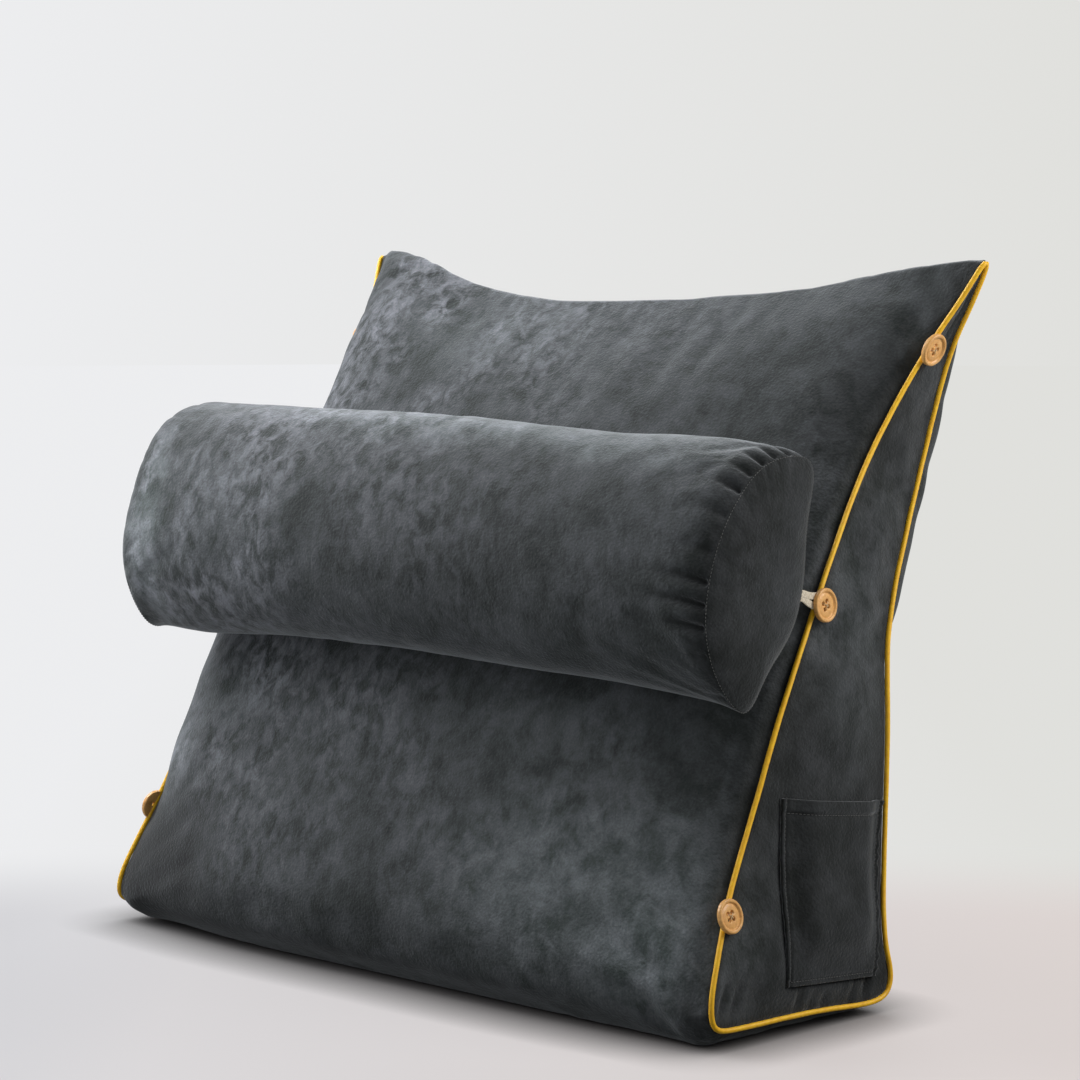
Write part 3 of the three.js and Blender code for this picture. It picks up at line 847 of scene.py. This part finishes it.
roll = Table(
    round=280, seamX=0.285, bodyX=0.225, tipAngle=-97.2, reach=0.005, clear=0.45,
    swellRight=0.013, swellLeft=0.005, leftReach=0.004, seamDip=0.0009, seamWidth=0.0022,
    crown=0.0075, crownTurn=0.013, unevenness=0.0010, rightSoftening=14, leftSoftening=420,
    stiffEnd=0.030, foldFull=0.0042,
)
rollCloth = {"frames": 16, "settings": {
    "shear_stiffness": 4, "bending_stiffness": 0.3, "uniform_pressure_force": 3.6, "shrink_min": -0.0025}}
rollShifts = metres([
    ((-225, -112, 205), (85, 30, 32), (0, -1, -11)),
    ((-285, -135, 330), (60, 40, 45), (0, 5, 0)),
    ((-290, -95, 385), (30, 30, 22), (-1.5, -1, -0.5)),
    ((288, -22, 366), (30, 18, 18), (0, 2, 3.5)),
    ((5, -65, 385), (150, 50, 35), (0, 0, 6)),
    ((262, -65, 385), (75, 50, 35), (0, 0, 6.2)),
])
rollInsets = [
    0, 0.0008, 0.0018, 0.003, 0.0045, 0.006, 0.008, 0.010, 0.0125, 0.015, 0.018, 0.0215, 0.0255, 0.030,
    0.035, 0.041, 0.048, 0.056,
]
capShares = [0.992, 0.98, 0.96, 0.93, 0.89, 0.84, 0.78, 0.71, 0.63, 0.54, 0.44, 0.33, 0.22, 0.11]
# Gathers at the right end: Y and Z where each meets the end seam, depth, width and reach.
rollGathers = metres([
    (-26, 372, 2.8, 3.6, 11),
    (-39, 375, 4, 3.4, 14),
    (-53, 373, 4, 3.4, 12),
    (-65, 370, 4.6, 3.6, 15),
    (-77, 364, 3.6, 3.4, 13),
    (-88, 357, 5, 4.4, 18),
    (-100, 342, 2.6, 5.2, 18),
    (-111, 318, 2, 4.6, 20),
    (-116, 300, 5.6, 4.2, 26),
    (-118, 286, 6.2, 4, 30),
    (-118, 272, 5.6, 4.2, 27),
    (-114, 254, 2, 4.6, 18),
    (-98, 226, 1.4, 5, 16),
    (-50, 240, 2.6, 4.6, 16),
    (-30, 282, 3.6, 4.6, 18),
    (-24, 325, 3, 4.6, 18),
    (-20, 352, 2.8, 4.4, 16),
])


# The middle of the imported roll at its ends.
def rollCentre(side):
    points = pointsOf(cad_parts["neck_roll"])
    end = points[points[:, 0] * side > 0.2845][:, 1:]
    return (end.max(0) + end.min(0)) / 2


def centreAt(x):
    left, right = roll.centres
    return left + (right - left) * (x / roll.seamX + 1) / 2


def rollRing(tree, x, centre):
    hits = []
    for angle in radians(roll.tipAngle) - np.linspace(0, tau, 721)[:-1]:
        towards = Vector((0, cos(angle), sin(angle)))
        hit = tree.ray_cast(Vector((x, *centre)), towards)[0]
        hits.append((hit.y - centre[0], hit.z - centre[1]))
    closed = np.array(hits + hits[:1])
    walked = walkedAlong(closed)
    at = np.linspace(0, walked[-1], roll.round + 1)[:-1]
    return pointsAt(closed, walked, at), walked[-1]


def ringNormals(ring):
    along = np.roll(ring, -1, 0) - np.roll(ring, 1, 0)
    out = unit(np.stack([-along[:, 1], along[:, 0]], axis=1))
    return out if np.sum(out * ring) > 0 else -out


# How far the gathers draw the cloth in at each point of a ring, this far from the end seam.
def gatherDepth(part, inset):
    share = np.arange(roll.round) / roll.round
    depth = np.zeros(roll.round)
    for place, deepest, width, reach in part["rows"]:
        away = np.abs(share - place)
        away = np.minimum(away, 1 - away) * part["girth"] / (width * (1 + inset / 0.05))
        deep = ease(0, 0.003, inset) * exp(-(inset / reach) ** 1.6)
        depth += deepest * deep * (np.exp(-(1.3 * away) ** 1.4) - 0.5 * away ** 2 * bell(away, 1))
    return depth


# Each gather: its place as a share of the ring, its depth, width and reach. The left end's are weaker.
def gatherRows(seamRing, centre, hand):
    if hand == "right":
        near = [np.argmin(np.hypot(*(seamRing + centre - row[:2]).T)) for row in rollGathers]
        return [(place / roll.round, *row[2:]) for place, row in zip(near, rollGathers)]
    rng = np.random.default_rng(7)
    rows, share = [], rng.uniform(0, 0.04)
    while share < 0.98:
        draws = [rng.uniform(*limits) for limits in ((0.0003, 0.0010), (0.004, 0.006), (0.014, 0.026))]
        rows.append((share, *draws))
        share += rng.uniform(0.022, 0.075)
    return rows


# One ring of the roll's cloth, from the seam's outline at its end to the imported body's further in.
def clothRing(tree, part, x):
    inset = roll.seamX - abs(x)
    sample = copysign(min(abs(x), roll.bodyX), x)
    body, _ = rollRing(tree, sample, centreAt(sample))
    share = 1 - exp(-inset / (roll.swellRight if x >= 0 else roll.swellLeft))
    ring = softened(part["seam"] * (1 - share) + body * share, 2, True)
    dip = roll.seamDip * (1 - exp(-inset / roll.seamWidth)) * exp(-inset / 0.012)
    ring = ring - ringNormals(ring) * column(gatherDepth(part, inset) - dip) + centreAt(x)
    reach = -roll.leftReach * exp(-inset / 0.03) if x < 0 else 0
    return np.column_stack([np.full(len(ring), x + reach), ring])


def makeRoll():
    tree = treeOf("neck_roll")
    roll.centres = [rollCentre(-1), rollCentre(1)]
    insets = list(rollInsets)
    while insets[-1] + 0.008 < roll.seamX:
        insets.append(insets[-1] + 0.008)
    stations = [roll.seamX - i for i in insets] + [0.0] + [i - roll.seamX for i in insets[::-1]]
    parts = {}
    for hand, side in hands.items():
        centre = centreAt(side * roll.seamX)
        seamRing, girth = rollRing(tree, side * roll.seamX * 0.9996, centre)
        seamRing = softened(seamRing, roll.rightSoftening if side > 0 else roll.leftSoftening, True)
        if hand == "left":
            seamRing *= girth / lengths(seamRing - np.roll(seamRing, 1, 0)).sum()
        parts[hand] = {"seam": seamRing, "girth": girth, "rows": gatherRows(seamRing, centre, hand)}
    partAt = lambda x: parts["right" if x >= 0 else "left"]
    rings = capRings(parts["right"], 1)[::-1] + [clothRing(tree, partAt(x), x) for x in stations]
    rings += capRings(parts["left"], -1)
    points, count = np.vstack(rings), roll.round
    piece = faceOut(newPiece("neckRollCover", points, ringFaces(len(rings), count)))
    seamRows = [len(capShares), len(rings) - 1 - len(capShares)]
    sewn = np.concatenate([np.arange(row * count, (row + 1) * count) for row in seamRows])
    seams = {hand: points[row * count:(row + 1) * count] for hand, row in zip(hands, seamRows)}
    # The gathers are marked for painted shade by their depth.
    folds = np.zeros((len(rings), count))
    for i, x in enumerate(stations, seamRows[0]):
        folds[i] = gatherDepth(partAt(x), roll.seamX - abs(x)) / roll.foldFull
    # The end seams are marked for painted shade too.
    folds[seamRows] += 0.6
    markFoldShade(piece, folds.ravel())
    start = pointsOf(piece)
    room = np.minimum(roll.reach, roll.clear * distanceTo(treeOf("wedge_cushion"), start, 0.03))
    room *= 0.2 + 0.8 * ease(0.002, roll.stiffEnd, roll.seamX - np.abs(start[:, 0]))
    fillCover(piece, sewn, rollCloth, calmed(room, start, [(seam[0], 0.13) for seam in seams.values()]))
    subdivide(piece, 1)
    closeCaps(piece)
    points, normals = pointsOf(piece), normalsOf(piece)
    swell = softNoise(points, 0.06, 2.2) + 0.4 * softNoise(points, 0.02, 6.6)
    away = roll.seamX - np.abs(points[:, 0])
    points = points + pushed(points, rollShifts)
    seams = {hand: ring + pushed(ring, rollShifts) for hand, ring in seams.items()}
    setPoints(piece, points + normals * column(swell * roll.unevenness * ease(0.0, 0.03, np.abs(away))))
    return piece, seams


# The middle of each cap is filled last, since a point with this many edges is slow to subdivide.
def closeCaps(piece):
    bm = opened(piece)
    for side in (-1, 1):
        rim = [e for e in bm.edges if e.is_boundary and e.verts[0].co.x * side > 0]
        middle = sum((e.verts[0].co + e.verts[1].co for e in rim), Vector()) / (2 * len(rim))
        centre = bm.verts.new(middle + Vector((side * 0.0001, 0, 0)))
        for edge in rim:
            bm.faces.new((*edge.verts, centre))
    bm.to_mesh(piece.data)
    bm.free()
    faceOut(piece)


def capRings(part, side):
    seamX = side * roll.seamX
    pucker = gatherDepth(part, 0.006)
    rings = []
    for share in capShares:
        fromSeam = (1 - share) * 0.075
        rise = roll.crown * (1 - fading(fromSeam, roll.crownTurn)) + (roll.leftReach if side < 0 else 0)
        x = seamX + side * (rise - 0.15 * pucker * fading(fromSeam, 0.008))
        rings.append(np.column_stack([x, part["seam"] * share + centreAt(seamX)]))
    return rings


# The patch pocket, with a turned hem and edge stitching.

pocket = Table(
    across=96, up=116, thickness=0.0020, hem=0.0092, hemRise=0.0009, edge=0.0036,
    groove=0.0010, grooveWidth=0.0011, pucker=0.0005, puckerLength=0.013, gap=0.0003,
    stand=0.0010, standWidth=0.004, smoothing=60,
)
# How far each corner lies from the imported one, in Y and Z.
pocketMoves = {
    "frontTop": (-0.0006, -0.001),
    "backTop": (0.0024, -0.003),
    "backFoot": (0.0002, 0),
    "frontFoot": (-0.0005, 0.002),
}


def pocketCorners():
    points = pointsOf(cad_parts["pocket"])
    ways = {"frontTop": (-1, 1), "backTop": (1, 1), "backFoot": (1, -1), "frontFoot": (-1, -1)}
    packed = {name: points[np.argmax(points[:, 1:] @ way)][1:] for name, way in ways.items()}
    return {name: place + pocketMoves[name] for name, place in packed.items()}


# Where a surface lies at this Y and Z, as seen from the right.
def surfaceX(tree, place):
    hit = tree.ray_cast(Vector((0.4, *place)), Vector((-1, 0, 0)))[0]
    return None if hit is None else hit.x


def between(first, second, share):
    return first * (1 - column(share)) + second * column(share)


def makePocket(wedgePiece):
    panel = BVHTree.FromObject(wedgePiece, bpy.context.evaluated_depsgraph_get())
    solid = treeOf("pocket")
    corner = pocketCorners()
    wide = np.linalg.norm(corner["backTop"] - corner["frontTop"])
    tall = np.linalg.norm(corner["frontTop"] - corner["frontFoot"])
    middle = sum(corner.values()) / 4
    across, up = pocket.across, pocket.up
    s, t = np.meshgrid(np.arange(across + 1) / across, np.arange(up + 1) / up)
    foot = between(corner["frontFoot"], corner["backFoot"], s)
    places = between(foot, between(corner["frontTop"], corner["backTop"], s), t)
    face, behind = np.zeros((2, *s.shape))
    for cell in np.ndindex(s.shape):
        for inset in (0.002, 0.01, 0.03, 0.06, 0.1):
            face[cell] = surfaceX(solid, places[cell] * (1 - inset) + middle * inset) or 0
            if face[cell]:
                break
        behind[cell] = surfaceX(panel, places[cell])
    for _ in range(pocket.smoothing):
        wider = np.pad(face, 1, mode="reflect", reflect_type="odd")
        beside = wider[2:, 1:-1] + wider[:-2, 1:-1] + wider[1:-1, 2:] + wider[1:-1, :-2]
        face = (2 * face + beside / 2) / 4
    sides = np.stack([s * wide, (1 - s) * wide, t * tall])
    fromTop = (1 - t) * tall
    wander = np.array([noise.noise((*place * 50, 0)) for place in places.reshape(-1, 2)]).reshape(s.shape)
    turn = sides[2] / pocket.puckerLength * tau + 5 * wander
    lift = pocket.pucker * np.sin(turn) * (fading(sides[1], 0.005) * 1.5 + 0.5 * fading(sides[0], 0.004))
    lift -= pocket.groove * bell(sides - pocket.edge, pocket.grooveWidth).sum(0)
    lift += pocket.hemRise / (1 + np.exp((fromTop - pocket.hem) / 0.0006))
    lift -= pocket.groove * 0.9 * bell(fromTop - pocket.hem, pocket.grooveWidth)
    edge = sides.min(0)
    lift += pocket.stand * fading(edge, pocket.standWidth) - 0.0007 * fading(edge, 0.0005)
    line = np.minimum(np.abs(sides - pocket.edge).min(0), np.abs(fromTop - pocket.hem))
    # The stitch lines and the hem's groove are marked for painted shade.
    folds = 0.75 * bell(line, pocket.grooveWidth).ravel()
    thick = pocket.thickness * (1 + 0.5 * (fromTop < pocket.hem))
    inner = np.maximum(behind + pocket.gap, face + lift - thick)
    outer = np.maximum(face + lift, inner + 0.0006)
    grids = np.array([np.dstack([x, places]) for x in (outer, inner)])
    row, count = across + 1, s.size
    faces = []
    for k in range(up):
        for a in range(k * row, k * row + across):
            faces.append((a, a + 1, a + row + 1, a + row))
            faces.append((count + a, count + a + row, count + a + row + 1, count + a + 1))
    rim = [*range(row)] + [k * row + across for k in range(1, up + 1)]
    rim += [up * row + j for j in range(across - 1, -1, -1)] + [k * row for k in range(up - 1, 0, -1)]
    for a, b in zip(rim, rim[1:] + rim[:1]):
        faces.append((a, count + a, count + b, b))
    piece = newPiece("sidePocket", grids.reshape(-1, 3), faces)
    markFoldShade(piece, np.tile(folds, 2))
    return faceOut(piece), grids[0], (wide, tall)


# Wooden buttons: turned with a rim, drilled, and tied on with a cross of thread.

button = Table(
    radius=0.0115, thickness=0.0036, edge=0.0011, rim=0.0021, rimSlope=0.0007, dish=0.0010,
    groove=0.0004, hole=0.00130, spread=0.0030, turns=72, thread=0.00028,
)
# The highest button on the left is sewn a little further back.
buttonMoves = {
    "button_right_middle": (0, 0.0013, -0.0035),
    "button_left_top": (-0.001, 0.001, -0.01),
    "button_left_bottom": (0.004, 0.002, 0),
}


# Where a packed button sits: its middle, its face's direction, and the turn of its holes.
def buttonSeat(node, side):
    points = np.unique(np.round(pointsOf(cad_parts[node]), 6), axis=0)
    rough = points.mean(0)
    values, axes = np.linalg.eigh(np.cov((points - rough).T))
    out = axes[:, 0] * (1 if axes[0, 0] * side > 0 else -1)
    first = np.cross([0, 0, 1], out)
    first /= np.linalg.norm(first)
    second = np.cross(out, first)
    rel = points - rough
    flat = np.stack([rel @ first, rel @ second], axis=1)
    wide = np.hypot(*flat.T)
    rimPoints = flat[wide > 0.0108]
    centre = (rimPoints.max(0) + rimPoints.min(0)) / 2
    flat -= centre
    near = np.hypot(*flat.T) < 0.0038
    turn = np.angle(np.sum(np.exp(4j * np.arctan2(flat[near, 1], flat[near, 0])))) / 4
    height = rel @ out
    middle = rough + first * centre[0] + second * centre[1] + out * height.min()
    middle += pushed([middle], shifts)[0] + np.array(buttonMoves.get(node, (0, 0, 0)))
    return middle, out, first, second, turn


def arcPoints(cx, cz, radius, start, end, steps):
    turns = [radians(start + (end - start) * i / steps) for i in range(steps + 1)]
    return [(cx + radius * cos(turn), cz + radius * sin(turn)) for turn in turns]


def turnedButton():
    r, t, e = button.radius, button.thickness, button.edge
    dishR, low = r - button.rim - button.rimSlope, t - button.dish
    profile = [
        (0, 0), (r * 0.4, 0), *arcPoints(r - e, e, e, -90, 0, 5), *arcPoints(r - e, t - e, e, 0, 80, 5),
        (r - button.rim, t - 0.0001), (r - button.rim - 0.3 * button.rimSlope, t - 0.0003),
        (dishR, low - button.groove), (dishR - 0.0005, low - button.groove), (dishR - 0.0011, low),
        (dishR * 0.55, low - 0.0001), (0, low - 0.0001)]
    points, faces, rows = [], [], []
    for radius, height in profile:
        ring = roundSection(radius, button.turns if radius else 1)
        rows.append(list(range(len(points), len(points) + len(ring))))
        points += [(*place, height) for place in ring]
    for a, b in zip(rows, rows[1:]):
        for i in range(button.turns):
            j = (i + 1) % button.turns
            ring = [a[i % len(a)], a[j % len(a)], b[j % len(b)], b[i % len(b)]]
            faces.append(tuple(dict.fromkeys(ring)))
    return points, faces


def drillPoints(angle):
    t, low, sides = button.thickness, button.thickness - button.dish, 20
    heights = [(-0.001, 1.9), (0, 1.35), (0.0004, 1), (low - 0.0007, 1), (low - 0.0003, 1.2), (t, 2.2)]
    centre = np.array([cos(angle), sin(angle)]) * button.spread
    points = [(*place, height) for height, wide in heights
              for place in centre + roundSection(button.hole * wide, sides)]
    last = len(points) - sides
    ends = [tuple(range(sides))[::-1], tuple(range(last, last + sides))]
    return points, ringFaces(len(heights), sides) + ends


def makeButtonShape():
    shape = newPiece("buttonShape", *turnedButton())
    for i in range(4):
        faceOut(shape)
        drill = faceOut(newPiece("drill", *drillPoints(i * pi / 2)))
        cut = shape.modifiers.new("drill", "BOOLEAN")
        cut.operation, cut.solver, cut.object = "DIFFERENCE", "EXACT", drill
        makePlain(shape)
        bpy.data.objects.remove(drill)
    return shape


def placed(local, seat):
    middle, out, first, second, turn = seat
    c, s = cos(turn), sin(turn)
    return middle + local @ np.array([first * c + second * s, second * c - first * s, out])


# Two bands of thread cross between the holes, and their ends go down into them.
def threadLocal():
    share = np.linspace(-1, 1, 15)
    sink = 0.0016 * np.maximum(0, np.abs(share) - 0.72) / 0.28
    runs = []
    for angle, lift in ((0, 0.00025), (pi / 2, 0.0006)):
        c, s = cos(angle), sin(angle)
        height = button.thickness - button.dish + lift + 0.0003 * (1 - share ** 2) - sink
        for shift in (-0.0002, 0.0002):
            flat = np.outer(button.spread * share * 1.02, [c, s]) + np.array([-s, c]) * shift
            runs.append(np.column_stack([flat, height]))
    return runs


def makeButtons(shape, wood, thread):
    seats = {}
    strand = roundSection(button.thread / 2, 8)
    for hand, side in hands.items():
        for row in ("top", "middle", "bottom"):
            node = "button_%s_%s" % (hand, row)
            seat = seats[node] = buttonSeat(node, side)
            piece = linked(node + "_wood", shape.data.copy())
            setPoints(piece, placed(pointsOf(shape), seat))
            finishPiece(piece, wood, "button_wood", node)
            paths = [evenly(placed(run, seat), 0.0004, False) for run in threadLocal()]
            threads = [sweep("strand", path, seat[1], strand, False) for path in paths]
            finishPiece(joined(threads, node + "_thread"), thread, "elastic_tape")
    bpy.data.objects.remove(shape)
    return seats


def joined(parts, name):
    bm = bmesh.new()
    for part in parts:
        bm.from_mesh(part.data)
        bpy.data.objects.remove(part)
    return meshed(name, bm)


# Elastic loops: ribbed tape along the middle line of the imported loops.

elastic = Table(
    halfWidth=0.0024, halfThick=0.0006, ribs=4, ribDepth=0.00014, points=40, step=0.0006,
    lift=0.004, endLift=0.005,
)


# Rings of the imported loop, counted from its end: each ring is one step further from the first point.
def loopLine(node):
    bm = opened(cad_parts[node], 2e-5)
    start = min((v for v in bm.verts if len(v.link_edges) == 4), key=lambda v: v.co.z)
    seen, layer, line = {start}, [start], [np.array(start.co)]
    while layer:
        layer = [w for v in layer for e in v.link_edges for w in [e.other_vert(v)] if w not in seen]
        layer = list(dict.fromkeys(layer))
        seen.update(layer)
        if layer:
            line.append(np.mean([v.co for v in layer], axis=0))
    bm.free()
    return np.array(line)


def tapeSection():
    turn = np.arange(elastic.points) / elastic.points * tau
    a, b = (np.sign(way) * np.abs(way) ** 0.5 * size for way, size in
            ((np.cos(turn), elastic.halfWidth), (np.sin(turn), elastic.halfThick)))
    rib = np.abs(np.sin(a / elastic.halfWidth * elastic.ribs / 2 * pi))
    b = b - np.sign(b) * elastic.ribDepth * (1 - rib) * (np.abs(b) > elastic.halfThick * 0.5)
    return np.stack([a, b], axis=1)


def makeElastic(hand, seats):
    line = loopLine("elastic_loop_%s" % hand)
    node = "button_%s_middle" % hand
    away = lengths(line - seats[node][0])
    far = column(ease(button.radius * 0.5, away.max(), away))
    line = line + [0, 0, elastic.lift] + far * [0, 0, elastic.endLift]
    line += (1 - far) * buttonMoves.get(node, (0, 0, 0))
    line = softened(evenly(line, 0.0012, False), 2, False)
    path = evenly(line, elastic.step, False)
    return sweep("elastic_%s_tape" % hand, path, seats[node][1], tapeSection(), False)


# Stitches along a line, as a Geometry Nodes tree of small rounded threads.

stitchSizes = {"Pitch": 0.0026, "Length": 0.0019, "Thickness": 0.0004, "Unevenness": 0.12}


def stitchTree(name):
    tree = bpy.data.node_groups.new(name, "GeometryNodeTree")
    sockets = [("Geometry", "INPUT", "Geometry"), *((label, "INPUT", "Float") for label in stitchSizes),
               ("Thread", "INPUT", "Material"), ("Geometry", "OUTPUT", "Geometry")]
    for label, way, kind in sockets:
        made = tree.interface.new_socket(label, in_out=way, socket_type="NodeSocket" + kind)
        if label in stitchSizes:
            made.default_value = stitchSizes[label]
    given = add(tree, "NodeGroupInput").outputs
    curve = found(tree, "GeometryNodeMeshToCurve", {0: given["Geometry"]})
    spaced = {"Curve": curve, "Length": given["Pitch"]}
    spaced = found(tree, "GeometryNodeResampleCurve", spaced, mode="LENGTH")
    tangent = found(tree, "GeometryNodeInputTangent")
    turned = found(tree, "FunctionNodeAlignRotationToVector", {"Vector": tangent}, axis="X")
    grain = found(tree, "GeometryNodeMeshUVSphere", {"Segments": 8, "Rings": 5, "Radius": 0.5})
    thick = given["Thickness"]
    size = found(tree, "CombineXYZ", {"X": given["Length"], "Y": thick, "Z": thick})
    jitter = add(tree, "FunctionNodeRandomValue", {"Seed": 3}, data_type="FLOAT")
    limits = [s for s in jitter.inputs if s.type == "VALUE"]
    for socket, way in zip(limits, ("SUBTRACT", "ADD")):
        bound = found(tree, "Math", {0: 1, 1: given["Unevenness"]}, operation=way)
        tree.links.new(bound, socket)
    share = [s for s in jitter.outputs if s.type == "VALUE"][0]
    put = found(tree, "GeometryNodeInstanceOnPoints", {
        "Points": spaced, "Instance": grain, "Rotation": turned, "Scale": scaled(tree, size, share)})
    real = found(tree, "GeometryNodeRealizeInstances", {0: put})
    painted = found(tree, "GeometryNodeSetMaterial", {"Geometry": real, "Material": given["Thread"]})
    add(tree, "NodeGroupOutput", {0: painted})
    return tree


def stitchLine(name, lines, tree, values):
    ends = np.cumsum([len(line) for line in lines]) - 1
    edges = [(i, i + 1) for i in range(ends[-1]) if i not in ends]
    piece = newPiece(name, np.vstack(lines), [], edges)
    modifier = piece.modifiers.new("stitches", "NODES")
    modifier.node_group = tree
    sockets = {s.name: s.identifier for s in tree.interface.items_tree if s.in_out == "INPUT"}
    for label, value in {**values, "Thread": greyThread}.items():
        modifier[sockets[label]] = value
    finishPiece(makePlain(piece), greyThread, "suede_cloth")


# Making everything

scene.view_settings.view_transform = "Standard"
makeCamera()
makeLights()
makeWorld()
makeFloor()
print("camera, floor and lights made")

cushionCloth = suedeMaterial("charcoalSuede")
goldPiping = pipingMaterial()
creamTape = elasticMaterial()
buttonWood = woodMaterial()
creamThread = threadMaterial("creamThread", (0.86, 0.66, 0.38))
greyThread = threadMaterial("greyThread", (0.13, 0.135, 0.135))

wedgePiece, sideSeams = makeWedge()
finishPiece(wedgePiece, cushionCloth, "suede_cloth", "wedge_cushion")
print("wedge made")

for seam in sideSeams:
    hand = "right" if seam[:, 0].mean() > 0 else "left"
    finishPiece(makePiping(seam, hand), goldPiping, "piping_cloth", "piping_%s" % hand)
print("piping made")

rollPiece, rollSeams = makeRoll()
finishPiece(rollPiece, cushionCloth, "suede_cloth", "neck_roll")
print("neck roll made")

pocketPiece, pocketGrid, (pocketWide, pocketTall) = makePocket(wedgePiece)
finishPiece(pocketPiece, cushionCloth, "suede_cloth", "pocket")
print("pocket made")

buttonSeats = makeButtons(makeButtonShape(), buttonWood, creamThread)
for hand in hands:
    tape = makeElastic(hand, buttonSeats)
    finishPiece(tape, creamTape, "elastic_tape", "elastic_loop_%s" % hand)
print("buttons and elastic made")

stitches = stitchTree("threadStitches")
lift = np.array([0.0001, 0, 0])
edgeCell = round(pocket.edge / pocketWide * pocket.across)
footCell = round(pocket.edge / pocketTall * pocket.up)
hemCell = pocket.up - round(pocket.hem / pocketTall * pocket.up)
sideLine = np.vstack([pocketGrid[::-1, edgeCell][:-footCell], pocketGrid[footCell, edgeCell:-edgeCell],
                      pocketGrid[footCell + 1:, -1 - edgeCell]])
hemLine = pocketGrid[hemCell, edgeCell:-edgeCell]
stitchLine("pocketStitches", [sideLine + lift, hemLine + lift], stitches,
           {"Pitch": 0.0027, "Length": 0.0021, "Thickness": 0.00042})
for hand, seam in rollSeams.items():
    closed = np.vstack([seam, seam[:1]])
    stitchLine("rollStitches_%s" % hand, [closed], stitches,
               {"Pitch": 0.0024, "Length": 0.0017, "Thickness": 0.00045})
print("stitches made")
